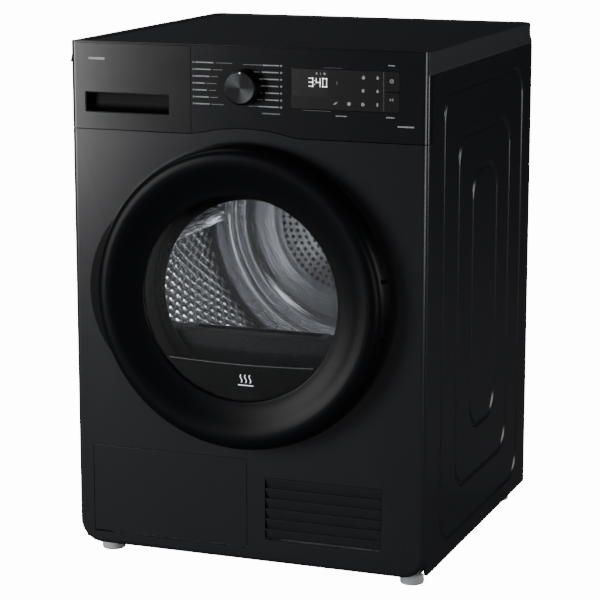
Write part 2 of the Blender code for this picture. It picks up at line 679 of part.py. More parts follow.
def door_liner():
    profile = [(0.2300, 0.0124), (0.2300, 0.0042), (0.1790, 0.0042), (0.1755, -0.0285), (0.1740, -0.0300)]
    profile += [(0.1500, -0.0300), (0.1500, -0.0276), (0.1700, -0.0276), (0.1730, 0.0068), (0.1670, 0.0124)]
    liner = turned("door_liner", profile, 0, DOOR_Z, 40)
    return cut(liner, *door_notches())


def door_glass(name, radius, low, high):
    return turned(name, [(0, high), (radius, high), (radius, low), (0, low)], 0, DOOR_Z, 40)


def door_lens():
    """Dark crescent behind the lower part of the window."""
    arch = segment(0.1665, 0.3560, 24)
    (x0, _), (x1, _) = arch[0], arch[-1]
    top = [(x1 + (x0 - x1) * t, 0.3560 - 0.004 * math.sin(math.pi * t)) for t in (0.15, 0.35, 0.5, 0.65, 0.85)]
    return sheet("door_lens", [arch + top], 0.0190, 0.0212)


def door_seal():
    profile = [(0.1965, 0.0038), (0.1955, 0.0006), (0.1895, 0.0006), (0.1885, 0.0038)]
    return turned("door_seal", profile, 0, DOOR_Z, 32)


def latch_hook():
    hook = plate("latch_hook", (-0.2140, -0.1980), (DOOR_Z - 0.011, DOOR_Z + 0.011), (0.0014, 0.0038))
    fuse(hook, plate("arm", (-0.2085, -0.2040), (DOOR_Z - 0.007, DOOR_Z + 0.007), (-0.0200, 0.0030)))
    return fuse(hook, plate("tip", (-0.2080, -0.2000), (DOOR_Z - 0.0065, DOOR_Z + 0.0065), (-0.0200, -0.0165)))


def latch_socket():
    socket = plate("latch_socket", (-0.2230, -0.1945), (DOOR_Z - 0.017, DOOR_Z + 0.017), (-0.0280, -0.0016))
    return cut(socket, plate("cut", (-0.2200, -0.1960), (DOOR_Z - 0.0095, DOOR_Z + 0.0095), (-0.0255, 0.01)))


def hinge_bracket():
    """Plate behind the front panel with two cranked arms and the pin between them."""
    bracket = plate("hinge_bracket", (0.1935, 0.2150), (DOOR_Z - 0.060, DOOR_Z + 0.060), (-0.0045, -0.0016))
    outline = [(0.1995, -0.0040), (0.2060, -0.0040), (0.2060, 0.0235), (0.2185, 0.0290), (0.2200, 0.0372)]
    outline += [(0.2150, 0.0362), (0.1995, 0.0285)]
    points = [(x, FRONT - h) for x, h in outline]
    pin_y = FRONT - HINGE_H
    for side in (-1, 1):
        z = DOOR_Z + side * ARM_Z
        fuse(bracket, sheet("arm", [points], z - 0.0025, z + 0.0025, UPRIGHT))
        fuse(bracket, rod("eye", (HINGE_X, pin_y, z - 0.0025), (HINGE_X, pin_y, z + 0.0025), 0.0044, 14))
    ends = [(HINGE_X, pin_y, DOOR_Z + s * 0.052) for s in (-1, 1)]
    return fuse(bracket, rod("pin", *ends, 0.003, 12))


def door_hinge_block():
    carrier = plate("door_hinge_block", (0.2138, 0.2272), (DOOR_Z - 0.036, DOOR_Z + 0.036), (0.0128, 0.0385))
    ends = [(HINGE_X, FRONT - HINGE_H, DOOR_Z + s * 0.05) for s in (-1, 1)]
    return cut(carrier, rod("cut", *ends, 0.0033, 14))


def hang(name, at, pieces):
    """Parents the pieces of one moving group to an empty on their joint axis."""
    pivot = bpy.data.objects.new(name, None)
    PIECES.objects.link(pivot)
    pivot.location = at
    bpy.context.view_layer.update()
    for piece in pieces:
        piece.parent = pivot
        piece.matrix_parent_inverse = pivot.matrix_world.inverted()


def paint(obj, colour, roughness=0.5, metallic=0.0, transmission=0.0):
    """Gives a piece its own Principled material."""
    material = bpy.data.materials.new(obj.name + "_finish")
    material.use_nodes = True
    shader = material.node_tree.nodes["Principled BSDF"]
    shader.inputs["Base Color"].default_value = (*colour, 1)
    shader.inputs["Roughness"].default_value = roughness
    shader.inputs["Metallic"].default_value = metallic
    shader.inputs["Transmission Weight"].default_value = transmission
    obj.data.materials.append(material)
    return obj


CHARCOAL = (0.035, 0.037, 0.042)
BLACK = (0.012, 0.012, 0.014)
STEEL = (0.55, 0.56, 0.57)
ZINC = (0.42, 0.43, 0.44)
GREY = (0.35, 0.36, 0.37)
WHITE = (0.72, 0.73, 0.73)


def cabinet():
    for piece in (front_panel(), side_panel("left_side_panel", -1), side_panel("right_side_panel", 1)):
        paint(piece, CHARCOAL, 0.35)
    paint(control_fascia(), BLACK, 0.25)
    paint(worktop_frame(), CHARCOAL, 0.4)
    paint(worktop_panel(), CHARCOAL, 0.35)
    for piece in (back_panel(), rear_duct_cover(), rear_bulkhead(), hinge_bracket()):
        paint(piece, ZINC, 0.35, 1.0)
    for piece in (base_tray(), front_bulkhead(), inner_cover(), tank_channel(), fan_housing()):
        paint(piece, GREY, 0.6)
    paint(grille(), CHARCOAL, 0.5)
    paint(display_window(), (0.01, 0.01, 0.012), 0.08)
    paint(control_board(), (0.02, 0.10, 0.04), 0.5)
    paint(felt("front_felt_seal", 0.2425, 0.254, -0.0847, -0.0813), WHITE, 0.95)
    paint(felt("rear_felt_seal", 0.262, 0.279, -0.4961, -0.4934), WHITE, 0.95)
    paint(moisture_sensor(), STEEL, 0.25, 1.0)
    paint(compressor(), BLACK, 0.45, 0.3)
    for name, front, back in (("evaporator", -0.225, -0.112), ("condenser", -0.095, 0.075)):
        paint(heat_exchanger(name, front, back), (0.75, 0.76, 0.77), 0.35, 1.0)
    paint(refrigerant_pipe(), (0.72, 0.36, 0.20), 0.3, 1.0)
    paint(drive_motor(), ZINC, 0.45, 1.0)
    paint(drive_belt(), BLACK, 0.8)
    paint(condensate_pump(), WHITE, 0.5)
    paint(latch_socket(), GREY, 0.5)
    paint(cord_inlet(), BLACK, 0.7)


def door():
    pieces = [
        paint(door_ring(), BLACK, 0.25),
        paint(door_glass("door_window", 0.1700, 0.0220, 0.0260), (0.6, 0.62, 0.64), 0.02, 0, 1.0),
        paint(door_lens(), CHARCOAL, 0.2),
        paint(door_glass("door_inner_glass", 0.1650, -0.0272, -0.0232), (0.6, 0.62, 0.64), 0.02, 0, 1.0),
        paint(door_liner(), BLACK, 0.4),
        paint(door_seal(), (0.05, 0.05, 0.05), 0.8),
        paint(latch_hook(), STEEL, 0.3, 1.0),
        paint(door_hinge_block(), ZINC, 0.4, 1.0),
    ]
    hang("door_pivot", (HINGE_X, FRONT - HINGE_H, DOOR_Z), pieces)


def running_gear():
    drum = [drum_shell(), drum_lifter("drum_lifter_1", 1), drum_lifter("drum_lifter_2", -1)]
    for piece in drum:
        paint(piece, STEEL, 0.3, 1.0)
    hang("drum_pivot", (0, 0, DRUM_Z), drum)
    rotor = [paint(motor_pulley(), STEEL, 0.3, 1.0), paint(fan_wheel(), WHITE, 0.6)]
    hang("rotor_pivot", (SHAFT[0], 0, SHAFT[1]), rotor)
    for place, y in (("front", -0.183), ("rear", 0.197)):
        for side, x in (("left", -ROLLER_X), ("right", ROLLER_X)):
            paint(roller(f"roller_{place}_{side}", x, y), (0.06, 0.06, 0.06), 0.7)


def moving_fittings():
    drawer = [paint(drawer_front(), CHARCOAL, 0.3), paint(water_tank(), WHITE, 0.3)]
    hang("drawer_pivot", (-0.195, FRONT, 0.780), drawer)
    paint(lint_filter(), GREY, 0.6)
    paint(selector_knob(), (0.30, 0.31, 0.32), 0.25, 0.9)
    paint(key("power_key", 0.7884, 0.8190), BLACK, 0.2)
    paint(key("start_key", 0.7570, 0.7876), BLACK, 0.2)
    hang("flap_pivot", (-0.135, FRONT + FLAP_PIN[1], FLAP_PIN[0]), [paint(service_flap(), CHARCOAL, 0.35)])
    for side, x in (("left", -0.222), ("right", -0.048)):
        lever = paint(lock_lever(f"lock_lever_{side}", x), (0.10, 0.25, 0.45), 0.5)
        hang(f"lock_lever_{side}_pivot", (x, FRONT + 0.025, 0.118), [lever])
    for place, y in zip(("front", "rear"), FOOT_Y):
        for side, x in (("left", -FOOT_X), ("right", FOOT_X)):
            paint(foot(f"foot_{place}_{side}", x, y), (0.55, 0.56, 0.57), 0.6)


clear_scene()
PIECES = collection("clothes_dryer")
CUTTERS = collection("cutters", hidden=True)
cabinet()
door()
running_gear()
moving_fittings()
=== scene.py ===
"""Looks of the front-loading clothes dryer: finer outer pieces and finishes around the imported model."""

import json
import logging
import math
from dataclasses import dataclass, field
from enum import Enum
from typing import Callable, Iterable, Sequence

import bmesh
import bpy
from mathutils import Matrix, Vector


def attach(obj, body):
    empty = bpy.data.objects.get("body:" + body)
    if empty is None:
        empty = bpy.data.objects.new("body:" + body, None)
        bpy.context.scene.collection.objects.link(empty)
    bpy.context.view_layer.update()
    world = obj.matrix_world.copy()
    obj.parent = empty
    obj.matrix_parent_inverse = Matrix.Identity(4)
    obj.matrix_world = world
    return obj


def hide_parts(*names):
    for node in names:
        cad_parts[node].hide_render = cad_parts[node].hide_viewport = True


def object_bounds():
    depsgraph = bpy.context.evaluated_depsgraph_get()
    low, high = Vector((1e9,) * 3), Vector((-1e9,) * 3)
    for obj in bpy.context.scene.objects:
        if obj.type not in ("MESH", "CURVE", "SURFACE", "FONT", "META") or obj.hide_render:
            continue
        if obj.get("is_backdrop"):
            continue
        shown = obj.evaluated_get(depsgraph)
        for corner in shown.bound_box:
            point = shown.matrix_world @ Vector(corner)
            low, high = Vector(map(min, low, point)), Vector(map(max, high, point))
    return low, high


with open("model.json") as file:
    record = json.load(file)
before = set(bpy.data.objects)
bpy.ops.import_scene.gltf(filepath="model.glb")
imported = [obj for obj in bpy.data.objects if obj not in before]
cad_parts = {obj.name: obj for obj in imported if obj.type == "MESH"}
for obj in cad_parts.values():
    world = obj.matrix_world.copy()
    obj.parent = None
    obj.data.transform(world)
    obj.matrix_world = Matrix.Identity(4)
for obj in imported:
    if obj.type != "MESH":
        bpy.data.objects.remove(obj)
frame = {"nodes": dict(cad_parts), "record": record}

log = logging.getLogger("dryer")

Colour = tuple[float, float, float]
Point = tuple[float, float]
Outline = Sequence[Point]
Object = bpy.types.Object
Mesh = bpy.types.Mesh
Draft = bmesh.types.BMesh
Node = bpy.types.Node
Tree = bpy.types.NodeTree
Socket = bpy.types.NodeSocket
Given = bpy.types.NodeOutputs

FRONT = -0.280
BACK = 0.320
HEIGHT = 0.850
FACE_X = 0.2985
SIDE_X = 0.297
FASCIA_Z = 0.710
BASE_Z = 0.022
DOOR_Z = 0.4565
DRUM_Z = 0.500
KNOB_Z = 0.787
DRUM_R = 0.270
SCREEN_R = 0.1285
HOLE_PITCH = 0.0118
POINT_WIDTH = 0.024
POINT_LENGTH = 0.030
HINGE_ARM_Z = 0.045
HINGE_SLOT = 0.0035
HINGE_NOTCH = 0.0034
PRINT_H = 0.00012
SCREEN_H = -0.00012
LIT_H = -0.00004
ICON_H = -0.00005
WORN_GREY = (0.42, 0.43, 0.45)
# painted shade: near-black colour drawn in the rear wall's holes, where the dark space behind them shows
HOLE_SHADE = (0.006, 0.006, 0.007)
MID_GREY = (0.5, 0.5, 0.5, 1)


class Body(str, Enum):
    """Bodies of the frame that the visual pieces ride on."""

    CABINET = "cabinet"
    DOOR = "door"
    DRUM = "drum"
    DRAWER = "drawer"
    KNOB = "knob"
    POWER = "power_key"
    START = "start_key"
    FLAP = "flap"


class Facing(Enum):
    """Which way a shape's own +Z points once it is placed."""

    FORWARD = "forward"
    UP = "up"

    def matrix(self) -> Matrix:
        """Placement of a shape drawn about its own origin.

        Returns:
            A turn about X, with FORWARD shapes moved so that height 0 is the front face.
        """
        if self is Facing.UP:
            return Matrix.Identity(4)
        return Matrix.Translation((0, FRONT, 0)) @ Matrix.Rotation(math.pi / 2, 4, "X")


# --------------------------------------------------------------------------- shader node helpers


@dataclass
class Graph:
    """A thin wrapper that adds and joins nodes in one tree."""

    tree: Tree

    def node(self, kind: str, **settings: object) -> Node:
        """Adds a node.

        Args:
            kind: Node type name without its ShaderNode prefix, or a full Node name.
            settings: Attributes to set on the node.

        Returns:
            The new node.
        """
        made = self.tree.nodes.new(kind if kind.startswith("Node") else "ShaderNode" + kind)
        for name, value in settings.items():
            setattr(made, name, value)
        return made

    def set(self, socket: Socket, value: object) -> None:
        """Links a socket to an output, or gives it a constant.

        Args:
            socket: Input socket.
            value: Output socket to link, or a constant.
        """
        if isinstance(value, Socket):
            self.tree.links.new(value, socket)
        else:
            socket.default_value = value

    def feed(self, node: Node, *values: object) -> Node:
        """Fills a node's inputs in order, skipping None.

        Args:
            node: The node whose inputs are filled.
            values: Output sockets to link, or constants.

        Returns:
            The same node.
        """
        for socket, value in zip(node.inputs, values):
            if value is not None:
                self.set(socket, value)
        return node

    def math(self, operation: str, *values: object, clamp: bool = False) -> Socket:
        """A Math node's result, clamped between 0 and 1 if asked."""
        return self.feed(self.node("Math", operation=operation, use_clamp=clamp), *values).outputs[0]

    def sway(self, value: object, amount: object, base: object, clamp: bool = False) -> Socket:
        """A base moved up and down by a value that runs from 0 to 1."""
        return self.math("MULTIPLY_ADD", self.math("SUBTRACT", value, 0.5), amount, base, clamp=clamp)

    def span(self, value: object, low: float, high: float, start: float, end: float) -> Socket:
        """A clamped Map Range that turns low to high into start to end."""
        return self.feed(self.node("MapRange"), value, low, high, start, end).outputs[0]

    def noise(self, vector: object, scale: object, detail: float = 3.0) -> Socket:
        """A noise value between 0 and 1."""
        return self.feed(self.node("TexNoise"), vector, None, scale, detail).outputs[0]

    def place(self) -> Socket:
        """The object coordinate, which is the row frame at rest."""
        return self.node("TexCoord").outputs["Object"]

    def axes(self) -> Sequence[Socket]:
        """The object coordinate's X, Y and Z."""
        return self.feed(self.node("SeparateXYZ"), self.place()).outputs

    def joined(self, *values: object) -> Socket:
        """A vector made of up to three values."""
        return self.feed(self.node("CombineXYZ"), *values).outputs[0]

    def effect_colour(self) -> Socket:
        """The colour put out by the effect group of a material."""
        return next(n for n in self.tree.nodes if n.type == "GROUP").outputs["Colour"]

    def polar(self, middle: float) -> Point:
        """Distance from and angle about a level axis that runs from front to back.

        Args:
            middle: Height of the axis.

        Returns:
            The radius and angle sockets.
        """
        x, _, z = self.axes()
        up = self.math("SUBTRACT", z, middle)
        squares = self.math("ADD", self.math("MULTIPLY", x, x), self.math("MULTIPLY", up, up))
        return self.math("SQRT", squares), self.math("ARCTAN2", up, x)

    def scaled(self, colour: object, amount: object) -> Socket:
        """A colour multiplied by a value.

        Args:
            colour: Colour socket.
            amount: Value socket or number.

        Returns:
            The scaled colour.
        """
        made = self.feed(self.node("VectorMath", operation="SCALE"), colour)
        self.set(made.inputs["Scale"], amount)
        return made.outputs[0]

    def blend(self, amount: object, low: object, high: Colour) -> Socket:
        """A mix of two colours.

        Args:
            amount: Share of high, from 0 to 1.
            low: Colour socket at 0.
            high: Colour at 1.

        Returns:
            The mixed colour.
        """
        made = self.node("Mix", data_type="RGBA")
        open_inputs = {s.name: s for s in made.inputs if s.enabled}
        for name, value in (("Factor", amount), ("A", low), ("B", (*high, 1))):
            self.set(open_inputs[name], value)
        return next(s for s in made.outputs if s.enabled)

    def bump(self, height: object, strength: object, distance: float) -> Socket:
        """A normal raised by a height.

        Args:
            height: Height socket.
            strength: Strength socket or number.
            distance: Height of a value of 1, in metres.

        Returns:
            The normal socket.
        """
        made = self.node("Bump")
        for name, value in (("Height", height), ("Strength", strength), ("Distance", distance)):
            self.set(made.inputs[name], value)
        return made.outputs[0]


Sockets = dict[str, Socket]
GroupMaker = Callable[[Graph, Given], Sockets]


def node_group(name: str, inputs: dict[str, object], make: GroupMaker) -> Tree:
    """Makes a shader node group once and returns it afterwards.

    Args:
        name: Name of the group.
        inputs: Input names with their default numbers or colours.
        make: Fills the group and returns its output sockets by name.

    Returns:
        The group's node tree.
    """
    found = bpy.data.node_groups.get(name)
    if found:
        return found
    tree = bpy.data.node_groups.new(name, "ShaderNodeTree")
    for key, value in inputs.items():
        kind = "NodeSocketFloat" if isinstance(value, float) else "NodeSocketColor"
        tree.interface.new_socket(key, in_out="INPUT", socket_type=kind).default_value = value
    graph = Graph(tree)
    results = make(graph, graph.node("NodeGroupInput").outputs)
    kinds = {"Colour": "NodeSocketColor", "Normal": "NodeSocketVector"}
    for key in results:
        tree.interface.new_socket(key, in_out="OUTPUT", socket_type=kinds.get(key, "NodeSocketFloat"))
    out = graph.node("NodeGroupOutput")
    for key, socket in results.items():
        tree.links.new(socket, out.inputs[key])
    return tree


# Each group below takes the graph to fill and the group's inputs, and returns its outputs by name.


def moulded(g: Graph, given: Given) -> Sockets:
    """Painted or moulded surface: broad mottle, fine grain, smudges and paler worn edges.

    Args:
        g: Graph to fill.
        given: The group's inputs.

    Returns:
        Colour, Roughness and Normal sockets.
    """
    at = g.place()
    fine = g.noise(at, given["Grain"], 2.0)
    smudge = g.noise(at, 38.0, 5.0)
    tone = g.sway(g.noise(at, 7.0), given["Mottle"], 1.0)
    tone = g.sway(fine, g.math("MULTIPLY", given["Mottle"], 0.6), tone)
    edge = g.span(g.node("NewGeometry").outputs["Pointiness"], 0.52, 0.62, 0.0, 1.0)
    worn = g.math("MULTIPLY", edge, given["Wear"])
    spread = g.math("MULTIPLY", given["Mottle"], 0.35)
    rough = g.sway(fine, spread, g.sway(smudge, spread, given["Rough"]), clamp=True)
    return {
        "Colour": g.blend(worn, g.scaled(given["Base"], tone), WORN_GREY),
        "Roughness": rough,
        "Normal": g.bump(fine, given["Relief"], 0.0003),
    }


def brushed(g: Graph, given: Given) -> Sockets:
    """Rolled or brushed metal with streaks along one axis.

    Args:
        g: Graph to fill.
        given: The group's inputs.

    Returns:
        Colour, Roughness and Normal sockets.
    """
    stretched = [g.math("MULTIPLY", axis, given[name]) for axis, name in zip(g.axes(), "XYZ")]
    streak = g.noise(g.joined(*stretched), 1.0, 4.0)
    tone = g.sway(g.noise(g.place(), 9.0), 0.20, g.sway(streak, 0.35, 1.0))
    return {
        "Colour": g.scaled(given["Base"], tone),
        "Roughness": g.sway(streak, 0.22, given["Rough"], clamp=True),
        "Normal": g.bump(streak, given["Relief"], 0.0002),
    }


def embossed(g: Graph, given: Given) -> Sockets:
    """Drum wall pressed with a lattice of small raised points, darker at the top of each point as painted
    shade.

    Args:
        g: Graph to fill.
        given: The group's inputs.

    Returns:
        Colour, Roughness and Normal sockets.
    """
    around = g.math("MULTIPLY", g.polar(DRUM_Z)[1], DRUM_R / POINT_WIDTH)
    along = g.math("MULTIPLY", g.axes()[1], 1 / POINT_LENGTH)
    sides = []
    for operation in ("ADD", "SUBTRACT"):
        turn = g.math("MULTIPLY", g.math(operation, around, along), math.tau)
        sides.append(g.math("MULTIPLY_ADD", g.math("COSINE", turn), 0.5, 0.5))
    height = g.math("POWER", g.math("MULTIPLY", *sides), 0.7)
    fine = g.noise(g.place(), 420.0, 4.0)
    # painted shade: the colour darkens with height, so each raised point is darker at the top
    tone = g.sway(fine, 0.3, g.span(height, 0.30, 0.75, 1.0, 0.25))
    return {
        "Colour": g.scaled(given["Base"], tone),
        "Roughness": g.sway(fine, 0.2, given["Rough"], clamp=True),
        "Normal": g.bump(height, 1.0, 0.004),
    }


def screened(g: Graph, given: Given) -> Sockets:
    """Turned sheet whose darker middle is pierced by rings of small holes, coloured near-black as painted
    shade.

    Args:
        g: Graph to fill.
        given: The group's inputs.

    Returns:
        Colour, Roughness, Metallic and Normal sockets.
    """
    radius, angle = g.polar(DRUM_Z)
    ring = g.math("ADD", g.math("FLOOR", g.math("DIVIDE", radius, HOLE_PITCH)), 0.5)
    count = g.math("FLOOR", g.math("MULTIPLY", ring, math.tau))
    turn = g.math("MULTIPLY", angle, g.math("DIVIDE", count, math.tau))
    across = g.math("MULTIPLY", g.math("SUBTRACT", g.math("FRACT", turn), 0.5), HOLE_PITCH)
    along = g.math("SUBTRACT", radius, g.math("MULTIPLY", ring, HOLE_PITCH))
    squares = g.math("ADD", g.math("MULTIPLY", across, across), g.math("MULTIPLY", along, along))
    away = g.math("SQRT", squares)
    pierced = g.span(radius, SCREEN_R, SCREEN_R + 0.0005, 1.0, 0.0)
    hole = g.math("MULTIPLY", g.span(away, 0.0031, 0.0036, 1.0, 0.0), pierced)
    streak = g.noise(g.joined(g.math("MULTIPLY", radius, 900.0)), 1.0, 3.0)
    tone = g.sway(streak, 0.25, g.span(radius, SCREEN_R, SCREEN_R + 0.0005, 0.5, 1.0))
    solid = g.math("SUBTRACT", 1.0, hole)
    rough = g.sway(streak, 0.16, given["Rough"], clamp=True)
    return {
        # painted shade: the holes are coloured near-black, standing for the dark space behind them
        "Colour": g.blend(hole, g.scaled(given["Base"], tone), HOLE_SHADE),
        "Roughness": g.math("MAXIMUM", rough, g.math("MULTIPLY", hole, 0.9)),
        "Metallic": solid,
        "Normal": g.bump(g.math("MULTIPLY_ADD", solid, 2.0, streak), 0.4, 0.0006),
    }


def spun_painted_sheen(g: Graph, given: Given) -> Sockets:
    """Knob face turned on a lathe, with fine rings and two opposite pale wedges that are a painted
    highlight.

    Args:
        g: Graph to fill.
        given: The group's inputs.

    Returns:
        Colour, Roughness and Normal sockets.
    """
    radius, angle = g.polar(KNOB_Z)
    # painted highlight: two opposite pale wedges on the face stand for light caught by the spun grooves
    sheen_swing = g.math("COSINE", g.math("MULTIPLY", g.math("SUBTRACT", angle, math.radians(-48)), 2.0))
    painted_sheen = g.math("POWER", g.span(sheen_swing, -0.35, 1.0, 0.0, 1.0), 1.3)
    rings = g.noise(g.joined(g.math("MULTIPLY", radius, 2600.0)), 1.0, 3.0)
    face = g.span(radius, 0.0225, 0.0245, 1.0, 0.0)
    tone = g.sway(rings, 0.5, g.math("MULTIPLY_ADD", g.math("MULTIPLY", painted_sheen, face), 2.6, 0.55))
    return {
        "Colour": g.scaled(given["Base"], tone),
        "Roughness": g.math("MULTIPLY_ADD", rings, 0.25, given["Rough"], clamp=True),
        "Normal": g.bump(rings, 0.25, 0.0002),
    }


def smeared(g: Graph, given: Given) -> Sockets:
    """Clean surface with faint wipe marks, for glass, print and lit marks.

    Args:
        g: Graph to fill.
        given: The group's inputs.

    Returns:
        Colour, Roughness and Normal sockets.
    """
    wipe = g.noise(g.place(), 24.0, 6.0)
    fine = g.noise(g.place(), 700.0, 2.0)
    return {
        "Colour": g.scaled(given["Base"], g.sway(wipe, 0.06, 1.0)),
        "Roughness": g.math("MULTIPLY_ADD", wipe, 0.05, given["Rough"], clamp=True),
        "Normal": g.bump(fine, 0.02, 0.0001),
    }


# --------------------------------------------------------------------------- finishes


@dataclass(frozen=True)
class Finish:
    """A moulded or painted finish, and the base of the others."""

    name: str
    base: Colour
    rough: float = 0.45
    mottle: float = 0.25
    grain: float = 900.0
    relief: float = 0.12
    wear: float = 0.05
    coat: float = 0.0
    specular: float = 0.5

    def effect(self) -> Tree:
        """The node group that carries the surface detail."""
        inputs = {"Base": MID_GREY, "Rough": 0.5, "Mottle": 0.2, "Grain": 900.0, "Relief": 0.1, "Wear": 0.1}
        return node_group("moulded", inputs, moulded)

    def values(self) -> dict[str, object]:
        """Numbers for the group's inputs by name."""
        return {"Mottle": self.mottle, "Grain": self.grain, "Relief": self.relief, "Wear": self.wear}

    def dress(self, shader: Node, graph: Graph) -> None:
        """Sets the shader's own constants.

        Args:
            shader: The Principled node.
            graph: The material's graph; not used here.
        """
        shader.inputs["Coat Weight"].default_value = self.coat
        shader.inputs["Coat Roughness"].default_value = 0.12
        shader.inputs["Specular IOR Level"].default_value = self.specular

    def material(self) -> bpy.types.Material:
        """The finish as a node material, made once.

        Returns:
            The material.
        """
        found = bpy.data.materials.get(self.name)
        if found:
            return found
        made = bpy.data.materials.new(self.name)
        made.use_nodes = True
        made.diffuse_color = (*self.base, 1)
        graph = Graph(made.node_tree)
        shader = made.node_tree.nodes["Principled BSDF"]
        effect = graph.node("Group")
        effect.node_tree = self.effect()
        for key, value in {"Base": (*self.base, 1), "Rough": self.rough, **self.values()}.items():
            effect.inputs[key].default_value = value
        for output in effect.outputs:
            target = "Base Color" if output.name == "Colour" else output.name
            graph.set(shader.inputs[target], output)
        self.dress(shader, graph)
        return made


@dataclass(frozen=True)
class Brushed(Finish):
    """Bare metal with streaks."""

    streak: tuple[float, float, float] = (40.0, 40.0, 900.0)

    def effect(self) -> Tree:
        """The streaked group."""
        inputs = {"Base": MID_GREY, "Rough": 0.3, "X": 40.0, "Y": 40.0, "Z": 900.0, "Relief": 0.1}
        return node_group("brushed", inputs, brushed)

    def values(self) -> dict[str, object]:
        """Relief, and streak density along each axis."""
        return {"Relief": self.relief, **dict(zip("XYZ", self.streak))}

    def dress(self, shader: Node, graph: Graph) -> None:
        """Makes it fully metallic."""
        shader.inputs["Metallic"].default_value = 1.0


@dataclass(frozen=True)
class Pressed(Finish):
    """Bare metal, or another surface with a patterned group of its own."""

    pattern: GroupMaker = embossed

    def effect(self) -> Tree:
        """The pattern's group."""
        return node_group(self.pattern.__name__, {"Base": MID_GREY, "Rough": 0.3}, self.pattern)

    def values(self) -> dict[str, object]:
        """Nothing beyond colour and roughness."""
        return {}

    def dress(self, shader: Node, graph: Graph) -> None:
        """Makes it metallic, the knob a little less."""
        shader.inputs["Metallic"].default_value = 0.85 if self.pattern is spun_painted_sheen else 1.0


@dataclass(frozen=True)
class Clear(Pressed):
    """Clear glass that lets the studio light through."""

    pattern: GroupMaker = smeared
    shade: float = 0.12

    def dress(self, shader: Node, graph: Graph) -> None:
        """Makes it transmit, and casts only a faint shadow.

        Args:
            shader: The Principled node.
            graph: The material's graph.
        """
        shader.inputs["Transmission Weight"].default_value = 1.0
        shader.inputs["IOR"].default_value = 1.45
        shader.inputs["Specular IOR Level"].default_value = 0.12
        shadow = graph.node("LightPath").outputs["Is Shadow Ray"]
        graph.set(shader.inputs["Alpha"], graph.span(shadow, 0.0, 1.0, 1.0, self.shade))


@dataclass(frozen=True)
class Glowing(Pressed):
    """Print, backlit display marks and pale parts that glow in their own colour; on print and pale parts
    the glow is painted light that keeps them bright in shade.
    """

    pattern: GroupMaker = smeared
    glow: float = 0.0

    def dress(self, shader: Node, graph: Graph) -> None:
        """Lets it glow in its own colour: backlight on the display and key marks, painted light on print,
        the knob index, the lens marks and the feet.
        """
        graph.set(shader.inputs["Emission Color"], graph.effect_colour())
        shader.inputs["Emission Strength"].default_value = self.glow


PAINT = Finish("charcoal_paint", (0.0190, 0.0196, 0.0225), 0.195, 0.10, 1400.0, 0.03, 0.02)
FASCIA = Finish("fascia_satin", (0.0105, 0.0109, 0.0126), 0.18, 0.08, 1500.0, 0.02, 0.01)
LID = Finish("lid_grain", (0.0480, 0.0490, 0.0540), 0.42, 0.12, 1100.0, 0.08, 0.02, specular=0.14)
DOOR_BLACK = Finish("door_satin", (0.0042, 0.0045, 0.0056), 0.34, 0.08, 1500.0, 0.02, 0.01, specular=0.09)
GLOSS = Finish("display_black", (0.0050, 0.0052, 0.0060), 0.18, 0.10, 600.0, 0.0, 0.0, specular=0.25)
SCREEN = Glowing("display_lit", (0.012, 0.012, 0.012), 0.25, glow=0.10)
LENS = Finish("lens_smoke", (0.0014, 0.0015, 0.0019), 0.22, 0.10, 500.0, 0.0, 0.0, specular=0.15)
DARK = Finish("dark_moulding", (0.0036, 0.0038, 0.0045), 0.50, 0.14, 1000.0, 0.05, specular=0.10)
RUBBER = Finish("seal_rubber", (0.012, 0.012, 0.013), 0.75, 0.20, 1200.0, 0.2)
FELT = Finish("pressed_felt", (0.030, 0.030, 0.031), 0.95, 0.3, 1600.0, 0.9, 0.0)
GREY = Finish("grey_moulding", (0.30, 0.31, 0.32), 0.55, 0.14, 900.0, 0.15)
MILK = Finish("tank_milk", (0.66, 0.68, 0.68), 0.35, 0.08, 900.0, 0.05)
# painted light: the feet glow to stand for light thrown up from the bright floor
FOOT_GLOW = Glowing("foot_grey", (0.80, 0.81, 0.83), 0.55, glow=0.22)
BOARD = Finish("board_green", (0.02, 0.10, 0.05), 0.4, 0.4, 500.0, 0.3)
TOUCH = Finish("touch_blue", (0.05, 0.16, 0.36), 0.45, 0.12, 900.0, 0.1)
ENAMEL = Finish("black_enamel", (0.02, 0.02, 0.022), 0.35, 0.3, 500.0, 0.2, 0.1, 0.3)
STEEL = Brushed("drum_rolled", (0.62, 0.63, 0.65), 0.26, relief=0.08, streak=(600.0, 30.0, 600.0))
ZINC = Brushed("zinc_sheet", (0.42, 0.43, 0.44), 0.38, relief=0.2, streak=(60.0, 60.0, 60.0))
MOTOR = Brushed("motor_steel", (0.34, 0.35, 0.36), 0.42, relief=0.2, streak=(300.0, 40.0, 300.0))
FINS = Brushed("fin_aluminium", (0.74, 0.75, 0.76), 0.32, relief=0.1, streak=(900.0, 900.0, 50.0))
COPPER = Brushed("copper_tube", (0.72, 0.36, 0.20), 0.30, relief=0.1, streak=(60.0, 60.0, 60.0))
EMBOSSED = Pressed("drum_embossed", (0.56, 0.57, 0.59), 0.17, pattern=embossed)
SCREENED = Pressed("drum_rear", (0.56, 0.57, 0.59), 0.20, pattern=screened)
# knob finish whose pale wedges are a painted highlight
SPUN_SHEEN = Pressed("knob_spun_sheen", (0.020, 0.0205, 0.0225), 0.28, pattern=spun_painted_sheen)
GLASS = Clear("door_glass", (0.86, 0.88, 0.90), 0.0)
INNER_GLASS = Clear("inner_glass", (0.90, 0.91, 0.93), 0.01)
# painted light: print on the fascia and drawer glows a little to stay bright in shade; on the display
# symbols the glow is backlight
PRINT_GLOW = Glowing("white_print_glow", (0.42, 0.43, 0.44), 0.5, glow=0.10)
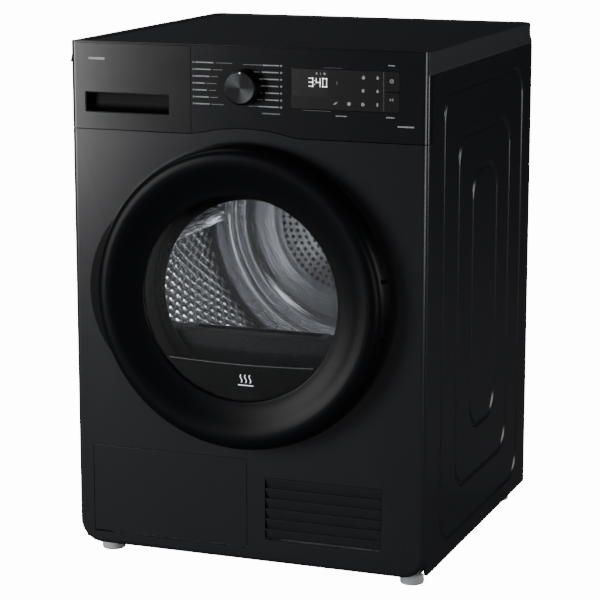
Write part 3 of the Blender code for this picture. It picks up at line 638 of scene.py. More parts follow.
# painted light: dim marks glow faintly, and the pale line along the lens edge is a painted highlight
FAINT_GLOW = Glowing("faint_print_glow", (0.22, 0.225, 0.23), 0.5, glow=0.03)
# backlight on the display digits; on the knob index and the lens symbol the same glow is painted light
WHITE_GLOW = Glowing("white_glow", (0.95, 0.96, 0.97), 0.3, glow=1.1)
ICONS = Glowing("lit_icons", (0.34, 0.35, 0.36), 0.3, glow=0.12)

SLOT_FINISH = {
    "body_paint": PAINT,
    "lid_finish": LID,
    "fascia_finish": FASCIA,
    "display_black": GLOSS,
    "door_black": DOOR_BLACK,
    "clear_glass": GLASS,
    "dark_plastic": DARK,
    "seal_rubber": RUBBER,
    "felt": FELT,
    "drum_steel": STEEL,
    "zinc_steel": ZINC,
    "grey_plastic": GREY,
    "tank_plastic": MILK,
    "knob_metal": SPUN_SHEEN,
    "fin_aluminium": FINS,
    "copper": COPPER,
    "motor_steel": MOTOR,
    "compressor_paint": ENAMEL,
    "board_green": BOARD,
    "lever_blue": TOUCH,
    "foot_grey": FOOT_GLOW,
    "inlet_black": RUBBER,
}


# --------------------------------------------------------------------------- outlines


def arc(cx: float, cz: float, radius: float, start: float, end: float, count: int) -> list[Point]:
    """Points on a circle between two angles in degrees, both included."""
    angles = [math.radians(start + (end - start) * i / (count - 1)) for i in range(count)]
    return [(cx + radius * math.cos(a), cz + radius * math.sin(a)) for a in angles]


def circle(cx: float, cz: float, radius: float, count: int = 96) -> list[Point]:
    """A full circle."""
    return arc(cx, cz, radius, 0, 360, count + 1)[:-1]


def rounded(x0: float, z0: float, x1: float, z1: float, radius: float, count: int = 7) -> list[Point]:
    """A rectangle with rounded corners.

    Args:
        x0: Left.
        z0: Bottom.
        x1: Right.
        z1: Top.
        radius: Corner radius.
        count: Points in each corner.

    Returns:
        The points, anticlockwise.
    """
    corners = [(x1 - radius, z1 - radius, 0), (x0 + radius, z1 - radius, 90)]
    corners += [(x0 + radius, z0 + radius, 180), (x1 - radius, z0 + radius, 270)]
    return [p for cx, cz, a in corners for p in arc(cx, cz, radius, a, a + 90, count)]


def eased(t: float, p: float, q: float, r: float, s: float) -> float:
    """The Catmull-Rom value at a share t of the way from q to r."""
    square, cube = 2 * p - 5 * q + 4 * r - s, 3 * q - p - 3 * r + s
    return 0.5 * (2 * q + (r - p) * t + square * t * t + cube * t**3)


def bow(points: Outline, steps: int = 6) -> list[Point]:
    """A smooth curve through points, by Catmull-Rom.

    Args:
        points: Points to pass through.
        steps: Curve points for each span.

    Returns:
        The curve's points, both ends included.
    """
    ends = [points[0], *points, points[-1]]
    curve = []
    for span in zip(ends, ends[1:], ends[2:], ends[3:]):
        curve += [tuple(eased(i / steps, *values) for values in zip(*span)) for i in range(steps)]
    return [*curve, points[-1]]


def box(x: Point, z: Point) -> list[Point]:
    """The corners of a rectangle, anticlockwise."""
    return [(x[0], z[0]), (x[1], z[0]), (x[1], z[1]), (x[0], z[1])]


def segment(radius: float, top: float, count: int = 60) -> list[Point]:
    """The part of a circle about the door's middle that lies below a level line."""
    angle = math.degrees(math.asin((top - DOOR_Z) / radius))
    return arc(0, DOOR_Z, radius, 180 - angle, 360 + angle, count)


def seam(lift: float, count: int = 25) -> list[Point]:
    """The arched seam between front panel and fascia, from right to left.

    Args:
        lift: Amount added to its height.
        count: Number of points.

    Returns:
        The points.
    """
    points = []
    for i in range(count):
        t = 1 - 2 * i / (count - 1)
        points.append((0.094 * t, FASCIA_Z + lift + 0.0115 * (1 - t * t) ** 2 * (1 + 0.9 * t * t)))
    return points


# --------------------------------------------------------------------------- meshes


def linked(name: str, data: bpy.types.ID) -> Object:
    """Adds an object to the scene.

    Args:
        name: Object name.
        data: Its mesh, curve, camera or light.

    Returns:
        The object.
    """
    made = bpy.data.objects.new(name, data)
    bpy.context.scene.collection.objects.link(made)
    return made


def evaluated(obj: Object) -> Mesh:
    """The mesh an object has once its curve or modifiers are worked out."""
    bpy.context.view_layer.update()
    return bpy.data.meshes.new_from_object(obj.evaluated_get(bpy.context.evaluated_depsgraph_get()))


def baked(obj: Object) -> Mesh:
    """Applies an object's modifiers.

    Args:
        obj: The object.

    Returns:
        Its new mesh.
    """
    mesh = evaluated(obj)
    obj.modifiers.clear()
    obj.data = mesh
    return mesh


def drawn(curve: bpy.types.Curve, lines: Iterable[Sequence[tuple]], closed: bool) -> Mesh:
    """The mesh of a curve.

    Args:
        curve: Curve whose width and fill are set.
        lines: Rows of 3-D points.
        closed: Whether each row joins its own start.

    Returns:
        The mesh.
    """
    for line in lines:
        spline = curve.splines.new("POLY")
        spline.points.add(len(line) - 1)
        for point, place in zip(spline.points, line):
            point.co = (*place, 1)
        spline.use_cyclic_u = closed
    holder = linked("holder", curve)
    mesh = evaluated(holder)
    bpy.data.objects.remove(holder)
    return mesh


def weld(shape: Draft) -> None:
    """Joins points that share a place."""
    bmesh.ops.remove_doubles(shape, verts=shape.verts, dist=1e-6)


def face_out(shape: Draft) -> None:
    """Turns the faces of a closed mesh outward."""
    shape.normal_update()
    bmesh.ops.recalc_face_normals(shape, faces=shape.faces)


def merge_flat(shape: Draft) -> None:
    """Joins faces that lie in one plane."""
    bmesh.ops.dissolve_limit(shape, angle_limit=0.001, verts=shape.verts, edges=shape.edges)


def reshape(mesh: Mesh, *steps: Callable[[Draft], None]) -> Mesh:
    """Edits a mesh.

    Args:
        mesh: The mesh.
        steps: Functions that each change its editable form.

    Returns:
        The same mesh.
    """
    shape = bmesh.new()
    shape.from_mesh(mesh)
    for step in steps:
        step(shape)
    shape.to_mesh(mesh)
    shape.free()
    return mesh


class Shaper:
    """Makes mesh objects for the visual model."""

    @staticmethod
    def link(name: str, mesh: Mesh, facing: Facing = Facing.UP) -> Object:
        """Puts a mesh in the scene, with its local +Z turned the way it faces."""
        mesh.transform(facing.matrix())
        return linked(name, mesh)

    @staticmethod
    def settle(obj: Object, angle: float = 32.0) -> Object:
        """Applies the modifiers and shades smooth up to an angle.

        Args:
            obj: The object.
            angle: Edges sharper than this stay sharp, in degrees.

        Returns:
            The same object.
        """
        mesh = reshape(baked(obj), weld)
        mesh.polygons.foreach_set("use_smooth", [True] * len(mesh.polygons))
        mesh.set_sharp_from_angle(angle=math.radians(angle))
        return obj

    @classmethod
    def lathe(
        cls,
        name: str,
        profile: Outline,
        x: float,
        z: float,
        steps: int = 128,
        facing: Facing = Facing.FORWARD,
    ) -> Object:
        """A profile of (radius, height) turned about an axis.

        Args:
            name: Object name.
            profile: Radius and height pairs. It closes on itself unless an end is on the axis.
            x: Axis position, first coordinate.
            z: Axis position, second coordinate.
            steps: Segments round the turn.
            facing: Which way heights run.

        Returns:
            The object.
        """
        points = list(profile)
        if sum(a[0] * b[1] - b[0] * a[1] for a, b in zip(points, points[1:] + points[:1])) > 0:
            points.reverse()
        closed = points[0][0] > 0 and points[-1][0] > 0
        edges = [(i, i + 1) for i in range(len(points) - 1)] + ([(len(points) - 1, 0)] if closed else [])
        mesh = bpy.data.meshes.new(name)
        mesh.from_pydata([(r, 0, h) for r, h in points], edges, [])
        made = linked(name, mesh)
        step = made.modifiers.new("turn", "SCREW")
        step.steps = step.render_steps = steps
        step.use_merge_vertices = True
        step.merge_threshold = 1e-5
        cls.settle(made)
        shift = Matrix.Translation((x, z, 0))
        made.data.transform(facing.matrix() @ shift)
        return made

    @classmethod
    def sheet(
        cls,
        name: str,
        outlines: Iterable[Outline],
        low: float,
        high: float,
        facing: Facing = Facing.FORWARD,
    ) -> Object:
        """A flat shape with holes between two heights.

        Args:
            name: Object name.
            outlines: Closed outlines, nested ones making holes.
            low: Lower height.
            high: Upper height.
            facing: Which way heights run.

        Returns:
            The object.
        """
        curve = bpy.data.curves.new(name, "CURVE")
        curve.dimensions = "2D"
        curve.fill_mode = "BOTH"
        curve.extrude = (high - low) / 2
        mesh = drawn(curve, [[(*point, 0) for point in outline] for outline in outlines], True)
        mesh.transform(Matrix.Translation((0, 0, (low + high) / 2)))
        return cls.link(name, reshape(mesh, weld, face_out, merge_flat), facing)

    @classmethod
    def block(
        cls, name: str, x: Point, z: Point, h: Point, soft: float = 0.0, facing: Facing = Facing.FORWARD
    ) -> Object:
        """A bar with straight or softened edges."""
        made = cls.sheet(name, [box(x, z)], *h, facing)
        return cls.soften(made, soft) if soft else made

    @classmethod
    def loft(
        cls, name: str, loops: Sequence[Sequence[tuple]], outward: tuple | None = None, wall: float = 0.0
    ) -> Object:
        """A skin through equal loops of points, closed into a ring or capped and thickened.

        Args:
            name: Object name.
            loops: Loops of 3-D points.
            outward: Outward direction at the capped end, or None for a ring.
            wall: Thickness added inward.

        Returns:
            The object.
        """

        def face_cap(shape: Draft) -> None:
            """Turns every face over if the cap looks the wrong way.

            Args:
                shape: The skin's editable form.
            """
            shape.faces.ensure_lookup_table()
            shape.normal_update()
            if shape.faces[-1].normal.dot(Vector(outward)) < 0:
                bmesh.ops.reverse_faces(shape, faces=shape.faces)

        count = len(loops[0])
        faces = []
        for k in range(len(loops) if outward is None else len(loops) - 1):
            a, b = k * count, (k + 1) % len(loops) * count
            faces += [(a + i, a + (i + 1) % count, b + (i + 1) % count, b + i) for i in range(count)]
        if outward is not None:
            faces.append(tuple((len(loops) - 1) * count + i for i in range(count)))
        mesh = bpy.data.meshes.new(name)
        mesh.from_pydata([p for loop in loops for p in loop], [], faces)
        made = cls.link(name, reshape(mesh, face_out if outward is None else face_cap))
        if wall:
            step = made.modifiers.new("wall", "SOLIDIFY")
            step.thickness = wall
            step.offset = -1
            step.use_even_offset = True
        return made

    @staticmethod
    def cut(obj: Object, tools: Iterable[Object]) -> Object:
        """Cuts tools out of an object and removes them.

        Args:
            obj: The object.
            tools: Closed meshes.

        Returns:
            The same object.
        """
        used = list(tools)
        for tool in used:
            step = obj.modifiers.new("cut", "BOOLEAN")
            step.operation = "DIFFERENCE"
            step.solver = "EXACT"
            step.object = tool
        baked(obj)
        for tool in used:
            bpy.data.objects.remove(tool)
        return obj

    @classmethod
    def soften(
        cls, obj: Object, radius: float, segments: int = 2, angle: float = 50.0
    ) -> Object:
        """Rounds the sharp edges and settles the mesh.

        Args:
            obj: The object.
            radius: Edge radius.
            segments: Steps across each edge.
            angle: Least angle that is rounded, in degrees.

        Returns:
            The same object.
        """
        step = obj.modifiers.new("edges", "BEVEL")
        step.width = radius
        step.segments = segments
        step.limit_method = "ANGLE"
        step.angle_limit = math.radians(angle)
        return cls.settle(obj)

    @classmethod
    def marks(cls, name: str, outlines: Iterable[Outline], height: float) -> Object:
        """Thin printed shapes lying on a forward-facing surface.

        Args:
            name: Object name.
            outlines: One closed outline for each mark.
            height: Height of the surface above the front face.

        Returns:
            The object.
        """
        shape = bmesh.new()
        for outline in outlines:
            verts = [shape.verts.new((u, v, height)) for u, v in outline]
            face = shape.faces.new(verts)
            face.normal_update()
            if face.normal.z < 0:
                face.normal_flip()
        mesh = bpy.data.meshes.new(name)
        shape.to_mesh(mesh)
        shape.free()
        return cls.link(name, mesh, Facing.FORWARD)

    @classmethod
    def tube(cls, name: str, points: Sequence[tuple], radius: float) -> Object:
        """A round bar along a path.

        Args:
            name: Object name.
            points: 3-D points.
            radius: Radius.

        Returns:
            The object.
        """
        curve = bpy.data.curves.new(name, "CURVE")
        curve.dimensions = "3D"
        curve.bevel_depth = radius
        curve.bevel_resolution = 3
        curve.use_fill_caps = True
        return cls.settle(cls.link(name, drawn(curve, [points], False)))


@dataclass
class Assembly:
    """A group of visual pieces that is built, then dressed."""

    pieces: list[tuple[Object, Finish]] = field(default_factory=list)

    def keep(
        self, obj: Object, finish: Finish, body: Body, slot: str, *nodes: str
    ) -> Object:
        """Records a finished piece.

        Args:
            obj: The piece.
            finish: Its finish.
            body: The body it rides on.
            slot: The record's material slot; not used.
            nodes: CAD nodes that it stands for.

        Returns:
            The piece.
        """
        if len(obj.data.polygons) > 1:
            step = obj.modifiers.new("normals", "WEIGHTED_NORMAL")
            step.keep_sharp = True
            step.weight = 100
        if nodes:
            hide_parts(*nodes)
        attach(obj, body.value)
        self.pieces.append((obj, finish))
        log.info("%s rides %s as %s", obj.name, body.value, finish.name)
        return obj

    def build(self) -> None:
        """Makes the pieces."""
        raise NotImplementedError

    def dress(self) -> None:
        """Gives each piece its material."""
        for obj, finish in self.pieces:
            obj.data.materials.clear()
            obj.data.materials.append(finish.material())


@dataclass
class Casing(Assembly):
    """Front skin, sides and lid."""

    corner: float = 0.009
    wall: float = 0.002
    steps: int = 8
    groove: float = 0.0040
    slope: float = 0.0060

    def front_loop(self, turn: float) -> list[tuple]:
        """One outline of the front skin.

        Args:
            turn: Angle round the edge, 0 at the side and 90 at the face.

        Returns:
            3-D points.
        """
        inset = self.corner * (1 - math.cos(math.radians(turn)))
        depth = self.corner * (1 - math.sin(math.radians(turn)))
        return self.front_outline(inset, depth)

    @staticmethod
    def front_outline(inset: float, depth: float) -> list[tuple]:
        """The front skin's outline at a depth.

        Args:
            inset: Distance in from the sides and foot.
            depth: Distance behind the front face.

        Returns:
            3-D points.
        """
        low = arc(-FACE_X + 0.038, BASE_Z + 0.038, 0.038 - inset, 180, 270, 13)
        low += arc(FACE_X - 0.038, BASE_Z + 0.038, 0.038 - inset, 270, 360, 13)
        top = FASCIA_Z - 0.0004
        edge = [(FACE_X - inset, top), *seam(-0.0004), (-FACE_X + inset, top)]
        return [(x, FRONT + depth, z) for x, z in low + edge]

    def front(self) -> Object:
        """The front skin with its openings.

        Returns:
            The object.
        """
        loops = [self.front_outline(0, 0.022)]
        loops += [self.front_loop(90 * i / self.steps) for i in range(self.steps + 1)]
        skin = Shaper.loft("front_skin", loops, (0, -1, 0), self.wall)
        deep = (-0.012, 0.012)
        tools = [
            Shaper.sheet("tool", [circle(0, DOOR_Z, 0.188)], *deep),
            Shaper.sheet("tool", [rounded(-0.2706, 0.0432, 0.0006, 0.1916, 0.003)], *deep),
            Shaper.sheet("tool", [rounded(0.0315, 0.0615, 0.2280, 0.1645, 0.002)], *deep),
            Shaper.block("tool", (-0.2165, -0.196), (DOOR_Z - 0.0095, DOOR_Z + 0.0095), deep),
        ]
        for side in (-1, 1):
            z = DOOR_Z + side * HINGE_ARM_Z
            tools.append(Shaper.block("tool", (0.198, 0.2075), (z - HINGE_SLOT, z + HINGE_SLOT), deep))
        return Shaper.soften(Shaper.cut(skin, tools), 0.0006)

    def side(self, name: str, sign: int) -> Object:
        """A side with three nested pressed grooves.

        Args:
            name: Object name.
            sign: -1 for left, 1 for right.

        Returns:
            The object.
        """

        def loop(y0: float, z0: float, y1: float, z1: float, radius: float, depth: float) -> list[tuple]:
            """A rounded rectangle on the side, sunk by a depth."""
            return [(sign * (SIDE_X - depth), y, z) for y, z in rounded(y0, z0, y1, z1, radius)]

        loops = [loop(-0.2572, 0.0230, 0.3180, 0.8145, 0.004, d) for d in (0.006, 0.0012)]
        loops.append(loop(-0.2562, 0.0240, 0.3170, 0.8135, 0.004, 0))
        rings = [(-0.192, 0.055, 0.257, 0.777), (-0.112, 0.125, 0.182, 0.700)]
        rings.append((-0.032, 0.205, 0.107, 0.635))
        for a, b, c, d in rings:
            for i in range(9):
                t = i / 8
                depth = self.groove * 0.5 * (1 - math.cos(math.tau * t))
                grow = self.slope * (1 - 2 * t)
                corner = 0.044 + grow * 0.6
                loops.append(loop(a - grow, b - grow, c + grow, d + grow, corner, depth))
        return Shaper.settle(Shaper.loft(name, loops, (sign, 0, 0), 0.0015), 50)

    def lid_frame(self) -> Object:
        """The lid's rim and flared skirt on three sides.

        Returns:
            The object.
        """

        def loop(inset: float, z: float) -> list[tuple]:
            """The lid's outline at a height."""
            outline = rounded(-0.3 + inset, -0.34, 0.3 - inset, BACK - inset, 0.016 - 0.4 * inset, 9)
            return [(x, y, z) for x, y in outline]

        skirt = [(0.0000, 0.8152), (0.0000, 0.8165), (0.0006, 0.8190), (0.0018, 0.8240), (0.0028, 0.8285)]
        skirt += [(0.0030, 0.8340), (0.0030, 0.8465)]
        crown = [(x - 0.2935, z) for x, z in arc(0.3000, 0.8465, 0.0035, 180, 90, 6)]
        rim = [(0.0190, 0.8500), (0.0215, 0.8498), (0.0230, 0.8490), (0.0240, 0.8478), (0.0240, 0.8445)]
        inner = [(0.0310, 0.8445), (0.0310, 0.8425), (0.0055, 0.8425), (0.0055, 0.8290), (0.0025, 0.8152)]
        frame_piece = Shaper.loft("lid_frame", [loop(*p) for p in skirt + crown + rim + inner])
        tool = Shaper.block("tool", (-0.4, 0.4), (-0.4, FRONT + 0.0045), (0.7, 0.9), facing=Facing.UP)
        return Shaper.settle(Shaper.cut(frame_piece, [tool]))

    def build(self) -> None:
        """Front, sides, lid and the crease in the front."""
        self.keep(self.front(), PAINT, Body.CABINET, "body_paint", "front_panel")
        self.keep(self.side("left_side_skin", -1), PAINT, Body.CABINET, "body_paint", "left_side_panel")
        self.keep(self.side("right_side_skin", 1), PAINT, Body.CABINET, "body_paint", "right_side_panel")
        self.keep(self.lid_frame(), LID, Body.CABINET, "lid_finish", "worktop_frame")
        outline = rounded(-0.2755, FRONT + 0.0045, 0.2755, BACK - 0.0245, 0.007)
        panel = Shaper.soften(Shaper.sheet("lid_panel", [outline], 0.8449, 0.8484, Facing.UP), 0.0010)
        self.keep(panel, LID, Body.CABINET, "lid_finish", "worktop_panel")
        crease = [(0.262, FRONT + 0.0003, 0.182), (0.262, FRONT + 0.0003, 0.053)]
        crease += [(x, FRONT + 0.0003, z) for x, z in arc(0.254, 0.053, 0.008, 0, -90, 6)]
        crease += [(0.020, FRONT + 0.0003, 0.045)]
        self.keep(Shaper.tube("front_crease", crease, 0.0008), PAINT, Body.CABINET, "body_paint")


@dataclass
class Grille(Assembly):
    """Louvred air inlet at the lower right."""

    x0: float = 0.0322
    x1: float = 0.2273
    z0: float = 0.0622
    z1: float = 0.1638
    blades: int = 6

    def build(self) -> None:
        """One prism of leaning blades."""
        pitch = (self.z1 - self.z0) / self.blades
        outline = []
        for i in range(self.blades):
            z = self.z1 - pitch * i
            outline += [(FRONT + 0.0050, z), (FRONT + 0.0005, z - 0.0002), (FRONT + 0.0005, z - 0.0020)]
            outline += [(FRONT + 0.0048, z - pitch + 0.0010)]
        outline += [(FRONT + 0.0090, self.z0), (FRONT + 0.0090, self.z1)]
        mesh = bpy.data.meshes.new("grille_blades")
        ends = [[(x, y, z) for y, z in outline] for x in (self.x0, self.x1)]
        count = len(outline)
        faces = [(i, (i + 1) % count, count + (i + 1) % count, count + i) for i in range(count)]
        faces += [tuple(range(count)), tuple(range(2 * count - 1, count - 1, -1))]
        mesh.from_pydata(ends[0] + ends[1], [], faces)
        blades = Shaper.link("grille_blades", reshape(mesh, face_out))
        blades = Shaper.soften(blades, 0.0005, angle=40)
        self.keep(blades, PAINT, Body.CABINET, "dark_plastic", "air_inlet_grille")


@dataclass
class Flap(Assembly):
    """Service flap at the lower left."""

    def build(self) -> None:
        """Plate, its two ears and its pin."""
        plate = Shaper.sheet("flap_skin", [rounded(-0.270, 0.0455, 0.000, 0.191, 0.0025)], -0.0025, 0.0)
        self.keep(Shaper.soften(plate, 0.0007, 3), PAINT, Body.FLAP, "body_paint", "service_flap")
        for name, x in (("flap_ear_left", -0.265), ("flap_ear_right", -0.005)):
            ear = Shaper.block(name, (x - 0.003, x + 0.003), (0.0478, 0.0522), (-0.0082, -0.0024), 0.0006)
            self.keep(ear, PAINT, Body.FLAP, "body_paint")
        pin = [(x, FRONT + 0.006, 0.050) for x in (-0.274, 0.004)]
        self.keep(Shaper.tube("flap_pin", pin, 0.0015), ZINC, Body.FLAP, "body_paint")


@dataclass
class Print:
    """Collects small flat shapes that stand for printed marks."""

    shapes: list[list[Point]] = field(default_factory=list)

    def bar(self, x0: float, x1: float, z: float, height: float) -> "Print":
        """A level bar.

        Args:
            x0: Left end.
            x1: Right end.
            z: Middle height.
            height: Thickness.

        Returns:
            This collection.
        """
        h = height / 2
        self.shapes.append(box((x0, x1), (z - h, z + h)))
        return self

    def words(self, x0: float, x1: float, z: float, height: float, seed: int) -> "Print":
        """A row of uneven dashes, as unreadable small print.

        Args:
            x0: Left end.
            x1: Right end.
            z: Middle height.
            height: Height of the row.
            seed: Picks the dash widths.

        Returns:
            This collection.
        """
        x, k = x0, seed
        while x < x1 - 0.0006:
            k = (k * 73 + 41) % 97
            width = 0.0010 + 0.0011 * (k / 97)
            low = z - height * (0.5 if k % 3 else 0.36)
            self.shapes.append(box((x, min(x + width, x1)), (low, z + height / 2)))
            x += width + 0.00035
        return self

    def ring(self, x: float, z: float, radius: float, hole: float, count: int = 14) -> "Print":
        """A ring made of short pieces.

        Args:
            x: Centre across.
            z: Centre height.
            radius: Outer radius.
            hole: Inner radius.
            count: Pieces round it.

        Returns:
            This collection.
        """
        outer, inner = circle(x, z, radius, count), circle(x, z, hole, count)
        for i in range(count):
            j = (i + 1) % count
            self.shapes.append([outer[i], outer[j], inner[j], inner[i]])
        return self

    def drop(self, x: float, z: float, size: float) -> "Print":
        """A drop."""
        self.shapes.append([(x, z + size), *arc(x, z - size * 0.28, size * 0.72, 155, 385, 12)])
        return self

    def disc(self, x: float, z: float, radius: float, squash: float = 1.0) -> "Print":
        """A filled round or oval."""
        self.shapes.append([(x + (u - x), z + (v - z) * squash) for u, v in circle(x, z, radius, 16)])
        return self


SEGMENTS = {"0": "abcdef", "3": "abcdg", "4": "bcfg"}


def digit(mark: Print, x: float, z: float, width: float, height: float, figure: str) -> None:
    """Adds a seven-segment figure.

    Args:
        mark: Collection to add to.
        x: Left edge.
        z: Bottom edge.
        width: Figure width.
        height: Figure height.
        figure: One of the keys of SEGMENTS.
    """
    t = width * 0.18
    half = height / 2
    spans = {
        "a": (0, width, height - t, height),
        "d": (0, width, 0, t),
        "g": (0, width, half - t / 2, half + t / 2),
        "b": (width - t, width, half, height),
        "c": (width - t, width, 0, half),
        "f": (0, t, half, height),
        "e": (0, t, 0, half),
    }
    for name in SEGMENTS[figure]:
        x0, x1, z0, z1 = spans[name]
        mark.shapes.append(box((x + x0, x + x1), (z + z0, z + z1)))


@dataclass
class Controls(Assembly):
    """Fascia, display, keys, drawer and knob."""

    left_rows: tuple = (
        (-0.0518, -0.0477, -0.0203),
        (-0.0559, -0.0532, -0.0368),
        (-0.0586, -0.0559, -0.0442),
        (-0.0668, -0.0641, -0.0469),
        (-0.0627, -0.0595, -0.0477),
        (-0.0600, -0.0572, -0.0442),
        (-0.0586, -0.0559, -0.0349),
    )
    right_rows: tuple = (
        (-0.0026, 0.0297, 0.0308),
        (0.0125, 0.0262, 0.0290),
        (0.0199, 0.0243, 0.0248),
        (0.0240, 0.0262, 0.0270),
        (0.0235, 0.0303, 0.0344),
        (0.0180, 0.0303, 0.0344),
        (0.0070, 0.0207, 0.0221),
    )
    left_top: float = 0.8225
    left_pitch: float = 0.01075
    right_top: float = 0.8215
    right_pitch: float = 0.01064

    def mark(
        self,
        name: str,
        mark: Print,
        height: float,
        finish: Finish,
        body: Body = Body.CABINET,
        slot: str = "fascia_finish",
    ) -> None:
        """Keeps a printed piece at a height above the front face."""
        self.keep(Shaper.marks(name, mark.shapes, height), finish, body, slot)

    @staticmethod
    def fascia_loop(depth: float, corner: float = 0.009, top_radius: float = 0.0018) -> list[tuple]:
        """The fascia's outline at a depth behind the face.

        Args:
            depth: Distance behind the face.
            corner: Radius of the side edges.
            top_radius: Radius of the top edge.

        Returns:
            3-D points.
        """

        def inset(radius: float) -> float:
            """How far a rounded edge has drawn in at this depth."""
            away = max(radius - depth, 0.0)
            return radius - math.sqrt(radius * radius - away * away)

        x, top = FACE_X - inset(corner), HEIGHT - inset(top_radius)
        low = FASCIA_Z + 0.0008
        edge = [(-x, low), *seam(0.0008)[::-1], (x, low), (x, top), (-x, top)]
        return [(px, FRONT + depth, pz) for px, pz in edge]

    def fascia(self) -> Object:
        """The fascia skin with its openings.

        Returns:
            The object.
        """
        depths = [0.022, 0.009, 0.0066, 0.0048, 0.0034, 0.0024, 0.0017, 0.0011, 0.0006, 0.0002, 0.0]
        skin = Shaper.loft("fascia_skin", [self.fascia_loop(d) for d in depths], (0, -1, 0), 0.002)
        tools = [
            Shaper.block("tool", (-0.32, -0.0900), (0.700, 0.8473), (-0.03, 0.01)),
            Shaper.sheet("tool", [rounded(0.0775, 0.7565, 0.2525, 0.8195, 0.001)], -0.01, 0.01),
            Shaper.sheet("tool", [circle(0, KNOB_Z, 0.0045, 24)], -0.01, 0.01),
            Shaper.block("tool", (-0.32, 0.32), (0.8145, 0.86), (-0.05, -0.0041)),
        ]
        return Shaper.settle(Shaper.cut(skin, tools))

    def drawer(self) -> Object:
        """Drawer front with a rounded outer corner and a scooped finger pocket.

        Returns:
            The object.
        """
        x, edge = -FACE_X, -0.0908
        outer = [(edge, FRONT), *arc(x + 0.009, FRONT + 0.009, 0.009, 270, 180, 9)]
        inner = [*arc(x + 0.009, FRONT + 0.009, 0.007, 180, 270, 9), (edge, FRONT + 0.002)]
        outline = [*outer, (x, FRONT + 0.022), (x + 0.002, FRONT + 0.022), *inner]
        front = Shaper.sheet("drawer_skin", [outline], 0.7108, 0.8467, Facing.UP)
        tools = [
            Shaper.block("tool", (-0.32, 0.32), (0.8145, 0.86), (-0.05, -0.0041)),
            Shaper.sheet("tool", [rounded(-0.273, 0.737, -0.127, 0.770, 0.0015)], -0.006, 0.01),
        ]
        return Shaper.soften(Shaper.cut(front, tools), 0.0006)

    def pocket(self) -> Object:
        """The scooped cup behind the drawer's opening.

        Returns:
            The object.
        """

        def loop(grow: float, drop: float, h: float) -> list[tuple]:
            """The cup's outline at a height."""
            outline = rounded(-0.273 - grow, 0.737 - grow + drop, -0.127 + grow, 0.770 + grow, 0.0025)
            return [(x, FRONT - h, z) for x, z in outline]

        cup = [(0, 0, -0.0012), (0, 0.0005, -0.006), (0, 0.003, -0.012)]
        cup += [(-0.0006, 0.007, -0.0165), (-0.004, 0.012, -0.0185)]
        shell = Shaper.loft("drawer_pocket", [loop(*step) for step in cup], (0, -1, 0))
        step = shell.modifiers.new("wall", "SOLIDIFY")
        step.thickness = 0.0016
        step.offset = 1
        return Shaper.settle(shell, 40)

    def icons(self) -> Print:
        """The option and key symbols on the display.

        Returns:
            The collected shapes.
        """
        mark = Print()
        mark.drop(0.1943, 0.8090, 0.0034).drop(0.2170, 0.8092, 0.0030)
        mark.disc(0.1938, 0.7884, 0.0022, 1.25).drop(0.2170, 0.7889, 0.0028)
        mark.shapes.append([(0.1452, 0.7652), (0.1500, 0.7660), (0.1530, 0.7700), (0.1492, 0.7690)])
        mark.disc(0.1712, 0.7676, 0.0030)
        mark.ring(0.1935, 0.7676, 0.0029, 0.0007, 12).disc(0.2168, 0.7680, 0.0016, 1.9)
        return mark

    def panel_print(self) -> Print:
        """Programme marks and their leader lines.

        Returns:
            The collected shapes.
        """
        mark = Print()
        for i, (end, lead, stop) in enumerate(self.left_rows):
            z = self.left_top - self.left_pitch * i
            mark.ring(-0.0856, z, 0.0015, 0.0008, 10)
            mark.words(-0.0825, end, z, 0.0018, 5 + i).bar(lead, stop, z, 0.00045)
        for i, (lead, stop, start) in enumerate(self.right_rows):
            z = self.right_top - self.right_pitch * i
            mark.bar(lead, stop, z, 0.00045).words(start, 0.0570, z, 0.0018, 11 + i)
            mark.ring(0.0608, z, 0.0016, 0.0008, 10)
        mark.words(0.2338, 0.2445, 0.8281, 0.0016, 3).words(0.2310, 0.2455, 0.7494, 0.0018, 7)
        mark.words(0.2494, 0.2755, 0.7363, 0.0022, 9).words(0.1500, 0.1675, 0.7483, 0.0016, 13)
        return mark

    def knob(self) -> None:
        """Makes the knob, its shaft and its index."""
        edge = bow([(0.0232, 0.0198), (0.0252, 0.0192), (0.0266, 0.0176), (0.0274, 0.0140)])
        face = [(0, 0.0196), (0.0200, 0.0196), *edge]
        side = [(0.0280, 0.0050), (0.0282, 0.0012), (0.0030, 0.0012), (0.0030, -0.0200), (0, -0.0200)]
        body = Shaper.lathe("knob_body", face + side, 0, KNOB_Z)
        self.keep(body, SPUN_SHEEN, Body.KNOB, "knob_metal", "selector_knob")
        # painted light: the index dot glows though it is no lamp
        index = Print().disc(0, KNOB_Z + 0.0232, 0.0011)
        self.keep(Shaper.marks("knob_index", index.shapes, 0.01992), WHITE_GLOW, Body.KNOB, "knob_metal")

    def build(self) -> None:
        """Fascia, drawer, display, keys, print and knob."""
        self.keep(self.fascia(), FASCIA, Body.CABINET, "fascia_finish", "control_fascia")
        self.keep(self.drawer(), FASCIA, Body.DRAWER, "fascia_finish", "drawer_front")
